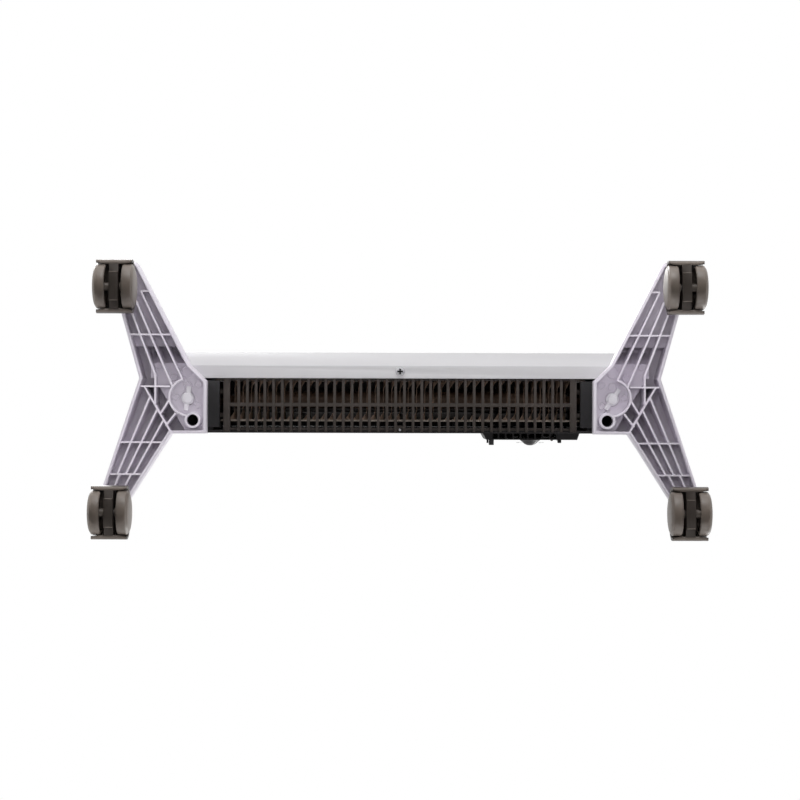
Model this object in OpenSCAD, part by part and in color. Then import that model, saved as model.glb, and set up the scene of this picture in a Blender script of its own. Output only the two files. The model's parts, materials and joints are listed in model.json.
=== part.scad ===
// Convector heater: a slim body on two ribbed feet with four twin-wheel casters.
// Frame: +Z up, X along the width, the front faces -Y, origin on the floor under the middle.

/* [Body] */
// Width of the front panel
body_w = 452; // [430:1:480]
// Height of the body above its feet
body_h = 366; // [330:1:420]
// Height of the body's underside above the floor
body_z = 64; // [62:0.5:70]
// Distance of the front face ahead of the origin
front_y = 44; // [43:0.5:48]
// Depth of the pan that forms the front panel
panel_depth = 24; // [22:0.5:28]
// Sheet thickness of the front panel
panel_t = 1; // [0.8:0.1:1.4]
// How far the panel's bevel comes forward
bevel_depth = 12.5; // [9:0.5:14]
// How high the panel's bevel rises
bevel_rise = 26; // [20:1:32]
// Width of the lips that the panel's edges fold into
panel_lip = 7; // [5:0.5:8]
// Depth of the rear housing
housing_depth = 50.3; // [47:0.1:56]
// How far each side of the housing slants in towards the rear
housing_taper = 29.5; // [24:0.5:34]
// Step from the panel's end to the housing's side
housing_step = 3.3; // [2.5:0.1:5]
// Wall of the rear housing
housing_t = 2.4; // [2:0.1:2.8]

/* [Grilles] */
// Half of the intake opening's width
grille_half = 156.4; // [140:0.2:160]
// Gap between two bars
bar_gap = 5.52; // [5:0.02:7]
// Width of a bar
bar_w = 2.5; // [2:0.1:3]
// Height of a bar
bar_h = 4; // [3:0.5:5]
// Width of the frame at each end of the intake
end_frame_w = 5.9; // [5:0.1:8]
// Place of the cross bar behind the origin
cross_y = 4.3; // [0:0.1:8]
// Width of the cross bar
cross_w = 3.3; // [2.5:0.1:5]
// Width of the outlet opening at the top
outlet_w = 366; // [300:2:380]
// Depth of the outlet opening
outlet_d = 33; // [26:1:38]
// Thickness of the top grille
top_t = 4; // [3:0.5:5]
// Number of slats across the outlet
slat_count = 5; // [4:1:7]
// Thickness of a slat, measured level
slat_t = 1.9; // [1.6:0.1:2.4]
// How far the slats hang below the top grille
slat_drop = 3; // [2:0.5:3]
// Distance between the ribs that hold the slats
slat_span = 26; // [18:1:40]

/* [Rear slots] */
// Width of a slot in the rear wall
slot_w = 3.6; // [3:0.1:3.9]
// Distance from slot to slot
slot_pitch = 8; // [7:0.5:12]
// Height of a slot
slot_h = 58; // [40:1:64]
// Height of the lower row's middle above the body's underside
slot_low = 52; // [44:1:60]

/* [Feet] */
// How far a foot reaches in under the body
foot_in = 49.5; // [48:0.5:56]
// Wall around a foot
foot_wall = 2.7; // [2.2:0.1:3.2]
// Thickness of a foot's skin
skin_t = 2.2; // [1.8:0.1:2.6]
// Thickness of a rib
rib_t = 1.5; // [1.2:0.1:2]
// Height of a foot's lower rim above the floor
rim_z = 48; // [47.5:0.5:50]
// Chamfer on the outside of the rim
rim_chamfer = 1.6; // [0.8:0.1:2]
// How far the shoulder beside the body rises above the body's underside
shoulder_h = 24; // [18:1:28]
// Height of an arm's top over the casters
arm_z = 66; // [65:0.5:69]
// Clearance between a foot and the body that it holds
seat_gap = 0.3; // [0.2:0.05:0.5]
// Radius of the round rib near the wing screw
arc_r = 16.9; // [15:0.1:17.5]
// Diameter of the wing screw's shank
wing_shank_d = 5; // [4:0.5:6]
// Span of the wings
wing_span = 22; // [18:0.5:23]
// Diameter of the wing screw's disc
wing_disc_d = 11.5; // [10:0.5:13]

/* [Casters] */
// Distance of the casters' axes ahead of and behind the origin
caster_y = 101.6; // [98:0.5:110]
// How far the front casters stand outside the panel's end
front_out = 30.7; // [29:0.1:34]
// How far the rear casters stand outside the panel's end
rear_out = 34.8; // [33:0.1:37]
// Diameter of a wheel
wheel_d = 40; // [39:0.5:42]
// Place of a wheel's inner face beside the caster's middle
wheel_in = 7.5; // [7:0.1:8.5]
// Place of a wheel's domed face beside the caster's middle
wheel_out = 19.7; // [19:0.1:22]
// Width of the hood
hood_w = 32.2; // [31:0.1:36]
// Thickness of the hood
hood_t = 2.6; // [2:0.1:2.8]
// Gap between the hood and the wheels
hood_gap = 1.7; // [1.2:0.1:1.8]
// Thickness of the web between the wheels
web_t = 8.2; // [7:0.1:9]
// Diameter of the axle
axle_d = 5; // [4:0.5:6]
// Diameter of the stem
stem_d = 8; // [7:0.5:8.5]
// Running clearance of the pins in their bores
run_gap = 0.06; // [0.03:0.01:0.1]

/* [Controls] */
// Width of the control box
box_w = 102; // [96:1:112]
// Height of the control box
box_h = 92; // [84:1:110]
// How far the control box stands out of the rear wall
box_depth = 10; // [8:0.5:14]
// Place of the control box's middle along the width
box_x = 134; // [125:0.5:136]
// Distance from the body's top to the control box
box_drop = 38; // [30:1:50]
// Wall of the control box
box_t = 2.2; // [1.8:0.1:2.6]
// Diameter of the knob's foot
knob_d = 21.6; // [20:0.2:28]
// How far the knob stands out of the face
knob_h = 6.6; // [6:0.1:9]
// Diameter of the thermostat's shaft
shaft_d = 6; // [5:0.5:6.5]
// Width of the power switch's paddle
paddle_w = 3.8; // [3:0.1:5]
// Length of the power switch's paddle
paddle_len = 16; // [14:0.5:20]
// Angle that the paddle rests at
paddle_tilt = 8; // [5:0.5:10]

/* [Heater] */
// Half of the finned element's length
element_half = 154; // [140:1:156]
// Distance from fin to fin
fin_pitch = 7.7; // [7:0.1:9]
// Thickness of a fin
fin_t = 0.6; // [0.5:0.1:1]
// Height of the element's axis above the body's underside
element_rise = 41; // [38:1:48]
// Diameter of the tubular heater
tube_d = 8; // [7:0.5:9]
// Sheet thickness of the air shields and brackets
shield_t = 0.8; // [0.6:0.1:1.2]
// Place of the front air shield ahead of the origin
shield_front = 18.6; // [17.5:0.1:19]
// Place of the rear air shield behind the origin
shield_rear = 19; // [18:0.1:20]

/* [Hidden] */

white = "#e6e4e8";
panel_white = "#eae9ea";
black = "#2b2a2b";
charcoal = "#363638";
taupe = "#8b8479";
steel = "#b8b8ba";
element_metal = "#5a4c42";

$fn = 48;
eps = 0.01;
far = 400;

// Heights and depths of the body
end_x = body_w / 2;
top_z = body_z + body_h;
pan_y = panel_depth - front_y;
rim_y = bevel_depth - front_y;
wall_y = pan_y + housing_depth;
side_x = end_x - housing_step;
inner_y = wall_y - housing_t;

// Grille
bar_pitch = bar_gap + bar_w;
bar_count = floor((2 * grille_half - bar_gap) / bar_pitch);
bar_z = body_z + 1.5;
rail_z = bar_z + bar_h;
rail_t = 4;
rail_w = 2;
frame_x = grille_half + end_frame_w;
frame_gap = 3.5;
grille_play = 0.1;
lip_t = 1;
seat_y = wall_y - lip_t;
slat_bite = 0.5;
slat_overlap = 0.9;
slat_pitch = (outlet_d + slat_bite) / slat_count;
slat_lean = slat_pitch + slat_overlap - slat_t;

// End blocks
block_x = frame_x + frame_gap;
block_front = -17.6;
block_back = 25.1;
block_floor = 3;
block_h = 12;
block_wall = 2.5;

// Wing screw and locating spigot, placed from the panel's end
wing_x = end_x - 31.4;
wing_y = -1.2;
arc_x = end_x - 32.4;
arc_y = -2.3;
spigot_x = end_x - 36.8;
spigot_y = 18.7;
tube_r = 7.3;
tube_bore_r = 5.3;
spigot_r = 5.1;
spigot_bore_r = 4.5;
spigot_len = 5;
platform_t = 2;
platform_z = body_z - platform_t;
ring_r = 7.8;
ring_t = 1.2;
ring_h = 1;
wing_gap = 0.2;
wing_t = 3.6;
wing_w = 4;
wing_drop = 6;
wing_turn_left = 98.6;
wing_turn_right = 124.4;
shank_gap = 0.1;

// Foot outline: distances outward from the panel's end, and places along Y
neck_in = [end_x - 33.9, -32.2];
corner_in = [end_x - foot_in, -17];
heel_in = [end_x - foot_in, wall_y + 0.5];
heel_out = [end_x - 16.8, wall_y + 0.7];
vertex = [end_x + 11.9, -19.6];
front_caster = [end_x + front_out, -caster_y];
rear_caster = [end_x + rear_out, caster_y];
tip_in = front_caster + [-17.4, -21.9];
tip_nose = front_caster + [-14, -24.3];
tip_front = front_caster + [0, -24.3];
tip_side = front_caster + [4, 0];
rear_bend = rear_caster + [9.7, -24];
rear_side = rear_caster + [15.8, 0];
rear_tip = rear_caster + [-7.3, 0];
outline = [
    heel_in, corner_in, neck_in, tip_in, tip_nose, tip_front, tip_side,
    vertex, rear_bend, rear_side, rear_tip, heel_out
];

// Three convex parts that make up the outline, each running on past the inner corners
run_on = 20;
front_arm = [
    ahead(tip_in, neck_in), tip_in, tip_nose, tip_front, tip_side, ahead(tip_side, vertex)
];
middle = [heel_in, corner_in, ahead(corner_in, neck_in), ahead(heel_in, heel_out)];
rear_arm = [ahead(rear_bend, vertex), rear_bend, rear_side, rear_tip, ahead(rear_tip, heel_out)];

// Foot heights
shoulder_z = body_z + shoulder_h;
arm_root_z = body_z + 7;
shoulder_run = 3.5;
shoulder_slope = 5;
shoulder_inset = 2.4;
nose_z = arm_z - 2;
arm_overrun = 30;
pad_w = 28;
pad_d = 43;
pad_r = 9;
pad_wall = 2.4;
stem_boss_r = 9;
stem_top = arm_z - 3;

// Ribs: cross ribs by their place along Y, long ribs by their share of the arm's width at each end
front_cross = [-99, -59.4];
middle_cross = -12.1;
rear_cross = [39, 68.1];
front_ribs = [[0.3, -99, 0.255, -17.5], [0.54, -90, 0.48, -12.1], [0.745, -79, 0.7, -21.5]];
rear_ribs = [[0.29, 19, 68], [0.5, 9, 68], [0.72, -3, 68], [0.36, 68, 80], [0.66, 68, 80]];
bend_rib_x = end_x - 2.7;
bend_rib = [-23, 4];
diagonal = [[end_x + 7.3, -12.1], [end_x - 16.6, 29]];
short_ribs = [
    [[end_x - 15, 0.8], [end_x - 7.3, 13.2]],
    [[end_x - 21.4, 12.2], [end_x - 12.2, 24]]
];

// Casters
wheel_r = wheel_d / 2;
hood_in_r = wheel_r + hood_gap;
hood_out_r = hood_in_r + hood_t;
hood_low = 14;
web_low = 8;
web_step = 12.7;
web_end = 20.3;
web_step_rise = 4;
boss_top = rim_z - 1.5;
boss_r = 10;
socket_r = 6.8;
socket_z = wheel_r + 6;
collar_gap = 0.2;
hub_r = 3.75;
hub_gap = 0.3;
casters = [
    [-front_caster[0], front_caster[1]], front_caster,
    [-rear_caster[0], rear_caster[1]], rear_caster
];

// Controls
box_top = top_z - box_drop;
box_low = box_top - box_h;
face_y = wall_y + box_depth;
box_bevel = 5.5;
knob_z = box_low + 0.54 * box_h;
knob_gap = 0.4;
stat_h = 17;
stat_d = 26;
knob_x = box_x + 2;
paddle_x = box_x + 32;
paddle_z = knob_z - 5;
paddle_axis_y = face_y - 2;
paddle_groove = 0.9;
paddle_cap = 1.2;
paddle_pin_d = 2;
paddle_pin_run = 1.3;
switch_w = paddle_w + 5.6;
switch_h = paddle_len + 5;
bezel_t = 0.5;
lens_x = box_x + 24.4;
lens_d = 2.6;
lens_h = 1.9;
bush_x = box_x - 39.8;
bush_z = box_low + 16;
bush_w = 5;
bush_h = 10;
bush_out = 5.6;
guard_dx = 3.9;
guard_w = 1.7;
guard_h = 8;
guard_out = 3.6;

// Heater
element_z = body_z + element_rise;
tube_half = element_half + 20;
stud_len = 8;
stud_d = 3.2;
lead_bend = 12;
lead_gap = 0.3;
bracket_x = block_x + 4.2;
shield_low = body_z + 15;
shield_high = top_z - 132;
shield_half = element_half + 10;
fin_clear = 0.5;

// Points of a counter-clockwise outline, moved inwards by d
function unit(v) = v / norm(v);
function left_of(v) = [-v[1], v[0]];
function moved_corner(a, b, c, d) =
    let (n = left_of(unit(b - a)), m = left_of(unit(c - b)))
    b + d * (n + m) / (1 + n * m);
function inset(p, d) =
    let (n = len(p))
    [for (i = [0 : n - 1]) moved_corner(p[(i + n - 1) % n], p[i], p[(i + 1) % n], d)];
function ahead(a, b) = b + run_on * unit(b - a);
function on_line(a, b, y) = a[0] + (b[0] - a[0]) * (y - a[1]) / (b[1] - a[1]);
function in_front_arm(share, y) =
    let (inner = on_line(neck_in, tip_in, y), outer = on_line(vertex, tip_side, y))
    [inner + share * (outer - inner), y];
function in_rear_arm(share, y) =
    let (inner = on_line(heel_out, rear_tip, y), outer = on_line(vertex, rear_bend, y))
    [inner + share * (outer - inner), y];

// Extrudes a YZ outline along +X
module along_x(length) {
    rotate([90, 0, 90]) linear_extrude(length) children();
}

module along_y(length) {
    rotate([-90, 0, 0]) linear_extrude(length) children();
}

module rounded_rect(w, d, r) {
    square([w - 2 * r, d], center = true);
    square([w, d - 2 * r], center = true);
    for (x = [-1, 1], y = [-1, 1]) {
        translate([x * (w / 2 - r), y * (d / 2 - r)]) circle(r);
    }
}

module mirrored() {
    mirror([1, 0, 0]) children();
}

// Pan-head screw: the head's seat at z = 0, the shank along +Z
module pan_screw(head_d, head_h, shank_d, length) {
    recess_w = head_d * 0.16;
    difference() {
        union() {
            translate([0, 0, -head_h * 0.55]) cylinder(h = head_h * 0.55, d = head_d);
            translate([0, 0, -head_h]) cylinder(h = head_h * 0.5, d1 = head_d * 0.7, d2 = head_d, $fn = 48);
        }
        for (a = [0, 90]) {
            rotate(a) translate([0, 0, -head_h]) cube([head_d * 0.6, recess_w, head_h], center = true);
        }
    }
    translate([0, 0, -eps]) cylinder(h = length, d = shank_d);
}

// Front panel

module panel_side(cut) {
    polygon([
        [pan_y + (cut > 0 ? 1 : 0), body_z + cut], [rim_y + cut * 0.6, body_z + cut],
        [cut - front_y, body_z + bevel_rise + cut * 0.5],
        [cut - front_y, top_z - bevel_rise - cut * 0.5],
        [rim_y + cut * 0.6, top_z - cut], [pan_y + (cut > 0 ? 1 : 0), top_z - cut]
    ]);
}

module front_panel() {
    color(panel_white) difference() {
        union() {
            difference() {
                translate([-end_x, 0, 0]) along_x(body_w) panel_side(0);
                translate([panel_t - end_x, 0, 0]) along_x(body_w - 2 * panel_t) panel_side(panel_t);
            }
            for (s = [-1, 1]) {
                translate([s * (end_x - panel_lip / 2), pan_y - panel_t / 2, body_z + body_h / 2])
                    cube([panel_lip, panel_t, body_h], center = true);
            }
            for (z = [body_z, top_z - 3]) {
                translate([-end_x, pan_y - panel_t, z]) cube([body_w, panel_t, 3]);
            }
        }
        translate([0, screw_y, body_z - 1]) cylinder(h = 3, d = screw_d + 0.4);
    }
}
screw_y = (rim_y + pan_y) / 2 - 0.6;
screw_d = 3.5;

module panel_screw() {
    color(steel) translate([0, screw_y, body_z]) pan_screw(8.6, 2.6, screw_d, 8);
}

// Rear housing

function housing_plan(cut, y0, y1) =
    let (slope = housing_taper / housing_depth, run = cut * norm([1, slope]))
    [
        [-(side_x - slope * (y0 - pan_y) - run), y0], [side_x - slope * (y0 - pan_y) - run, y0],
        [side_x - slope * (y1 - pan_y) - run, y1], [-(side_x - slope * (y1 - pan_y) - run), y1]
    ];

module slot_row(z) {
    count = floor((2 * (side_x - housing_taper) - 60) / slot_pitch / 2);
    for (i = [-count : count]) {
        x = i * slot_pitch;
        if (z + slot_h / 2 < box_low - 6 || abs(x - box_x) > box_w / 2 + slot_w + 2) {
            translate([x - slot_w / 2, inner_y - 1, z - slot_h / 2]) cube([slot_w, housing_t + 2, slot_h]);
        }
    }
}

module rear_housing() {
    color(black) difference() {
        union() {
            translate([0, 0, body_z]) linear_extrude(body_h) difference() {
                polygon(housing_plan(0, pan_y, wall_y));
                polygon(housing_plan(housing_t, pan_y - 1, inner_y));
            }
            translate([-4, inner_y - 3, rail_z]) cube([8, 4, 12]);
            for (x = housing_screw_x) {
                translate([x, inner_y + 0.5, top_z - 9]) rotate([90, 0, 0]) cylinder(h = 3.5, r = 4);
            }
        }
        translate([-frame_x - grille_play, inner_y - 1, body_z - 1])
            cube([2 * (frame_x + grille_play), seat_y - inner_y + 1, rail_z - body_z + 1 + grille_play]);
        for (k = [0 : 3]) slot_row(body_z + slot_low + k * (slot_h + 14));
        translate([box_x - box_w / 2 + 8, inner_y - 1, box_low + 8])
            cube([box_w - 16, housing_t + 2, box_h - 16]);
        translate([0, grille_screw_y, body_z]) cylinder(h = 14, d = grille_screw_d + 0.2);
        for (x = housing_screw_x) {
            translate([x, inner_y - 4, top_z - 9]) rotate([-90, 0, 0]) cylinder(h = 10, d = 3.2);
        }
        for (s = [-1, 1]) {
            translate([s * block_screw_x, inner_y - 1, block_screw_z])
                rotate([-90, 0, 0]) cylinder(h = 10, d = 3.2);
            translate([s * block_screw_x, wall_y - block_screw_sink, block_screw_z])
                rotate([-90, 0, 0]) cylinder(h = 4, d = block_screw_head + 0.6);
        }
        for (x = [-1, 1], z = [-1, 1]) {
            translate([box_x + x * screw_inset_x, inner_y - 1, (box_low + box_top) / 2 + z * screw_inset_z])
                rotate([-90, 0, 0]) cylinder(h = 10, d = 3.2);
        }
    }
}
housing_screw_x = [-150, 0, 60];
block_screw_x = end_x - 50;
block_screw_z = body_z + 7;
block_screw_head = 6;
block_screw_sink = 1.2;
grille_screw_y = wall_y - 2.8;
grille_screw_d = 1.6;

module housing_screws() {
    color(steel) {
        for (x = housing_screw_x) {
            translate([x, wall_y, top_z - 9]) rotate([90, 0, 0]) pan_screw(7, 2, 3, 9);
        }
        for (s = [-1, 1]) {
            translate([s * block_screw_x, wall_y - block_screw_sink, block_screw_z])
                rotate([90, 0, 0]) pan_screw(block_screw_head, 0.9, 3, 8);
        }
    }
}

// Base grille

module base_grille() {
    front = pan_y + grille_play;
    back = inner_y - grille_play;
    bar_back = seat_y - grille_play;
    color(charcoal) difference() {
        union() {
            for (i = [0 : bar_count - 1]) {
                x = (i - (bar_count - 1) / 2) * bar_pitch;
                translate([x - bar_w / 2, front, bar_z]) cube([bar_w, bar_back - front, bar_h]);
            }
            translate([-frame_x, cross_y - cross_w / 2, bar_z]) cube([2 * frame_x, cross_w, bar_h]);
            for (s = [-1, 1]) {
                translate([s * (frame_x - end_frame_w / 2), (front + back) / 2, bar_z + 4.5])
                    cube([end_frame_w, back - front, 9], center = true);
                translate([s * (frame_x - end_frame_w / 2), (front + bar_back) / 2, bar_z + bar_h / 2])
                    cube([end_frame_w, bar_back - front, bar_h], center = true);
                for (y = [-8, 14]) {
                    translate([s * (block_x - frame_gap / 2 - 0.5), y, bar_z + 7.5])
                        cube([frame_gap + 1, 4, 3], center = true);
                }
            }
            for (y = [front, back - rail_w]) {
                translate([-frame_x, y, rail_z - eps]) cube([2 * frame_x, rail_w, rail_t]);
            }
            translate([-bar_gap / 2 - 0.5, grille_screw_y - 4, rail_z - 1])
                cube([bar_gap + 1, bar_back - grille_screw_y + 4, 1]);
            translate([-10, screw_y - 6, rail_z]) cube([20, front - screw_y + 7, rail_t - 1]);
            translate([0, screw_y, body_z + panel_t]) cylinder(h = rail_z - body_z, d = 9);
        }
        translate([0, screw_y, body_z]) cylinder(h = 20, d = screw_d);
        translate([-4.2, inner_y - 3.2, rail_z]) cube([8.4, 4, 14]);
        translate([0, grille_screw_y, body_z]) cylinder(h = 10, d = grille_screw_d + 0.2);
    }
}

module grille_screw() {
    color(steel) translate([0, grille_screw_y, rail_z - 1]) pan_screw(3, 1, grille_screw_d, 6);
}

// Top grille

module top_grille() {
    low = top_z - 1 - top_t;
    front = pan_y + grille_play;
    back = inner_y - grille_play;
    mid = (front + back) / 2;
    rib_half = floor(outlet_w / slat_span / 2);
    color(charcoal) {
        difference() {
            translate([0, 0, low]) linear_extrude(top_t)
                polygon(housing_plan(housing_t + grille_play, front, back));
            translate([-outlet_w / 2, mid - outlet_d / 2, low - 1]) cube([outlet_w, outlet_d, top_t + 2]);
            for (x = housing_screw_x) {
                translate([x, back - 6, low - 1]) cube([10, 14, 2], center = true);
            }
        }
        for (i = [-rib_half : rib_half]) {
            translate([i * slat_span - bar_w / 2, mid - outlet_d / 2 - slat_bite, low])
                cube([bar_w, outlet_d + 2 * slat_bite, top_t - 1]);
        }
        for (i = [0 : slat_count - 1]) {
            y = mid + outlet_d / 2 + slat_bite - i * slat_pitch;
            translate([-outlet_w / 2 - slat_bite, 0, 0]) along_x(outlet_w + 2 * slat_bite) polygon([
                [y, low - slat_drop], [y - slat_t, low - slat_drop],
                [y - slat_t - slat_lean, low + top_t - 1], [y - slat_lean, low + top_t - 1]
            ]);
        }
    }
}

// End block: an open tray that the foot is bolted to

module end_block() {
    plan = [
        [block_x, block_front],
        [housing_plan(housing_t, block_front, block_back)[1][0], block_front],
        [housing_plan(housing_t, block_front, block_back)[2][0], block_back],
        [block_x, block_back]
    ];
    color(charcoal) difference() {
        union() {
            translate([0, 0, body_z]) linear_extrude(block_h) difference() {
                polygon(plan);
                polygon(inset(plan, block_wall));
            }
            translate([0, 0, body_z]) linear_extrude(block_floor) polygon(plan);
            translate([wing_x, wing_y, body_z]) cylinder(h = 18, r = 7);
            translate([spigot_x, spigot_y, body_z - spigot_len]) cylinder(h = spigot_len + eps, r = spigot_r);
            translate([block_screw_x - 4, block_back - 3, block_screw_z - 4])
                cube([8, inner_y - block_back + 3, 8]);
        }
        translate([wing_x, wing_y, body_z - 1]) cylinder(h = 16, d = wing_shank_d + 2 * shank_gap);
        translate([spigot_x, spigot_y, body_z - spigot_len - 1])
            cylinder(h = spigot_len + block_floor + 2, r = spigot_bore_r);
        translate([block_screw_x, block_back - 4, block_screw_z]) rotate([-90, 0, 0]) cylinder(h = 8, d = 3);
    }
}

module end_block_left() { mirrored() end_block(); }
module end_block_right() { end_block(); }

// Foot

// Side view of a foot, lowered by drop
module foot_side(drop) {
    reach = caster_y + arm_overrun;
    front_foot = -front_y - shoulder_slope;
    front_top = -front_y - shoulder_run;
    polygon([
        [-reach, rim_z - 1], [reach, rim_z - 1], [reach, nose_z - drop], [caster_y, arm_z - drop],
        [wall_y + 16, arm_root_z - drop], [10, shoulder_z - drop], [front_top, shoulder_z - drop],
        [front_foot, arm_root_z - drop], [-caster_y, arm_z - drop], [-reach, nose_z - drop]
    ]);
}

// The space that the body fills, grown at its sides and lowered at its base
module body_space(grow, drop) {
    lean = bevel_depth / bevel_rise;
    shift = grow * norm([1, lean]);
    slope = housing_taper / housing_depth;
    run = grow * norm([1, slope]);
    back = wall_y + 8;
    along_x(end_x + grow) polygon([
        [pan_y, body_z - drop], [rim_y + drop * lean - shift, body_z - drop],
        [-front_y - shift, body_z + bevel_rise], [-front_y - shift, far], [pan_y, far]
    ]);
    translate([0, 0, body_z - drop]) linear_extrude(far) polygon([
        [0, pan_y - 1], [side_x + run + slope, pan_y - 1],
        [side_x + run - slope * (back - pan_y), back], [0, back]
    ]);
}

// A straight rib seen from below
module rib(a, b) {
    side = rib_t / 2 * left_of(unit(b - a));
    polygon([a - side, b - side, b + side, a + side]);
}

module ribs() {
    for (y = front_cross) rib(in_front_arm(0.02, y), in_front_arm(y < -80 ? 0.3 : 0.98, y));
    for (y = rear_cross) rib(in_rear_arm(0.02, y), in_rear_arm(0.98, y));
    for (r = front_ribs) rib(in_front_arm(r[0], r[1]), in_front_arm(r[2], r[3]));
    for (r = rear_ribs) rib(in_rear_arm(r[0], r[1]), in_rear_arm(r[0], r[2]));
    rib([arc_x + arc_r - 1, middle_cross], [vertex[0] - 1.5, middle_cross]);
    rib([bend_rib_x, bend_rib[0]], [bend_rib_x, bend_rib[1]]);
    rib(diagonal[0], diagonal[1]);
    for (s = short_ribs) rib(s[0], s[1]);
}

// The round rib about the wing screw, from the first long rib to the boss tube
module arc_rib() {
    difference() {
        circle(arc_r + rib_t / 2, $fn = 96);
        circle(arc_r - rib_t / 2, $fn = 96);
        polygon([[0, 0], [4.4 * 2, -16.1 * 2], [-60, -60], [-60, 60], [0, 60]]);
    }
}

// One convex part of the foot with a chamfer along its lower rim
module chamfered(points) {
    n = len(points);
    difference() {
        translate([0, 0, rim_z]) linear_extrude(far) polygon(points);
        for (i = [0 : n - 1]) {
            a = points[i];
            b = points[(i + 1) % n];
            translate([a[0], a[1], rim_z]) rotate(atan2(b[1] - a[1], b[0] - a[0]))
                translate([-3, 0, 0]) along_x(norm(b - a) + 6)
                    polygon([[-1, -1], [rim_chamfer + 1, -1], [-1, rim_chamfer + 1]]);
        }
    }
}

module outer_shape() {
    chamfered(front_arm);
    chamfered(middle);
    chamfered(rear_arm);
    translate([0, 0, rim_z]) linear_extrude(far)
        polygon(inset([heel_in, corner_in, neck_in, vertex, heel_out], foot_wall));
}

// A strip along the inner wall of the front arm, from its outer face inwards
module neck_strip(from, to, z) {
    run = tip_in - neck_in;
    translate([neck_in[0], neck_in[1], z]) rotate(atan2(run[1], run[0]))
        translate([-15, from, 0]) cube([45, to - from, far]);
}

module pad(w, d, r) {
    for (c = [front_caster, rear_caster]) translate(c) rounded_rect(w, d, r);
}

module foot() {
    color(white) difference() {
        union() {
            difference() {
                intersection() {
                    union() {
                        outer_shape();
                        translate([0, 0, rim_z]) linear_extrude(far) pad(pad_w, pad_d, pad_r);
                    }
                    along_x(far) foot_side(0);
                }
                neck_strip(-10, shoulder_inset, arm_root_z);
                difference() {
                    intersection() {
                        translate([0, 0, rim_z - 1]) linear_extrude(far) {
                            polygon(inset(outline, foot_wall));
                            pad(pad_w - 2 * pad_wall, pad_d - 2 * pad_wall, pad_r - pad_wall);
                        }
                        along_x(far) foot_side(skin_t);
                    }
                    body_space(seat_gap + skin_t, platform_t);
                    neck_strip(-1, shoulder_inset + foot_wall, arm_root_z - skin_t);
                    translate([0, 0, rim_z - 2]) linear_extrude(far) difference() {
                        pad(pad_w, pad_d, pad_r);
                        pad(pad_w - 2 * pad_wall, pad_d - 2 * pad_wall, pad_r - pad_wall);
                    }
                }
            }
            intersection() {
                translate([0, 0, rim_z + 0.4]) linear_extrude(far) {
                    intersection() {
                        polygon(inset(outline, 1));
                        difference() {
                            ribs();
                            translate([arc_x, arc_y]) circle(arc_r, $fn = 96);
                        }
                    }
                    translate([arc_x, arc_y]) arc_rib();
                }
                along_x(far) foot_side(skin_t / 2);
            }
            translate([spigot_x, spigot_y, rim_z + 0.4]) cylinder(h = body_z - rim_z - 0.4, r = tube_r);
            translate([wing_x, wing_y, platform_z - ring_h]) cylinder(h = ring_h + 1, r = ring_r);
            for (c = [front_caster, rear_caster]) {
                translate([c[0], c[1], rim_z]) cylinder(h = arm_z - rim_z - 1, r = stem_boss_r);
            }
        }
        body_space(seat_gap, 0);
        translate([spigot_x, spigot_y, rim_z - 1]) cylinder(h = far, r = tube_bore_r);
        translate([wing_x, wing_y, platform_z - ring_h - 1]) cylinder(h = ring_h + 1, r = ring_r - ring_t);
        translate([wing_x, wing_y, rim_z]) cylinder(h = far, d = wing_shank_d + 2 * shank_gap + 0.4);
        for (c = [front_caster, rear_caster]) {
            translate([c[0], c[1], rim_z - 1]) cylinder(h = stem_top - rim_z + 1, d = stem_d);
        }
    }
}

module foot_left() { mirrored() foot(); }
module foot_right() { foot(); }

// Wing screw

module wing_screw(turn) {
    disc_h = 4;
    color(white) {
        translate([0, 0, platform_z - wing_gap - disc_h]) cylinder(h = disc_h, d = wing_disc_d);
        translate([0, 0, platform_z - wing_gap - 1]) cylinder(h = 16, d = wing_shank_d);
        rotate(turn) translate([0, 0, platform_z - wing_gap - wing_drop / 2])
            cube([wing_span, wing_w, wing_t], center = true);
        translate([0, 0, platform_z - wing_gap - wing_drop]) cylinder(h = 3, d1 = wing_disc_d - 3, d2 = wing_disc_d - 1);
    }
}

module wing_screw_left() { translate([-wing_x, wing_y, 0]) wing_screw(wing_turn_left); }
module wing_screw_right() { translate([wing_x, wing_y, 0]) wing_screw(wing_turn_right); }

// Casters: the wheels' axis along X, the origin on the floor under the stem

module caster_stems() {
    color(steel) for (c = casters) {
        translate([c[0], c[1], socket_z + 0.5]) cylinder(h = stem_top - socket_z - 1, d = stem_d - 2 * run_gap);
        translate([c[0], c[1], boss_top + collar_gap]) cylinder(h = rim_z - boss_top - collar_gap, r = stem_boss_r);
    }
}

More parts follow.
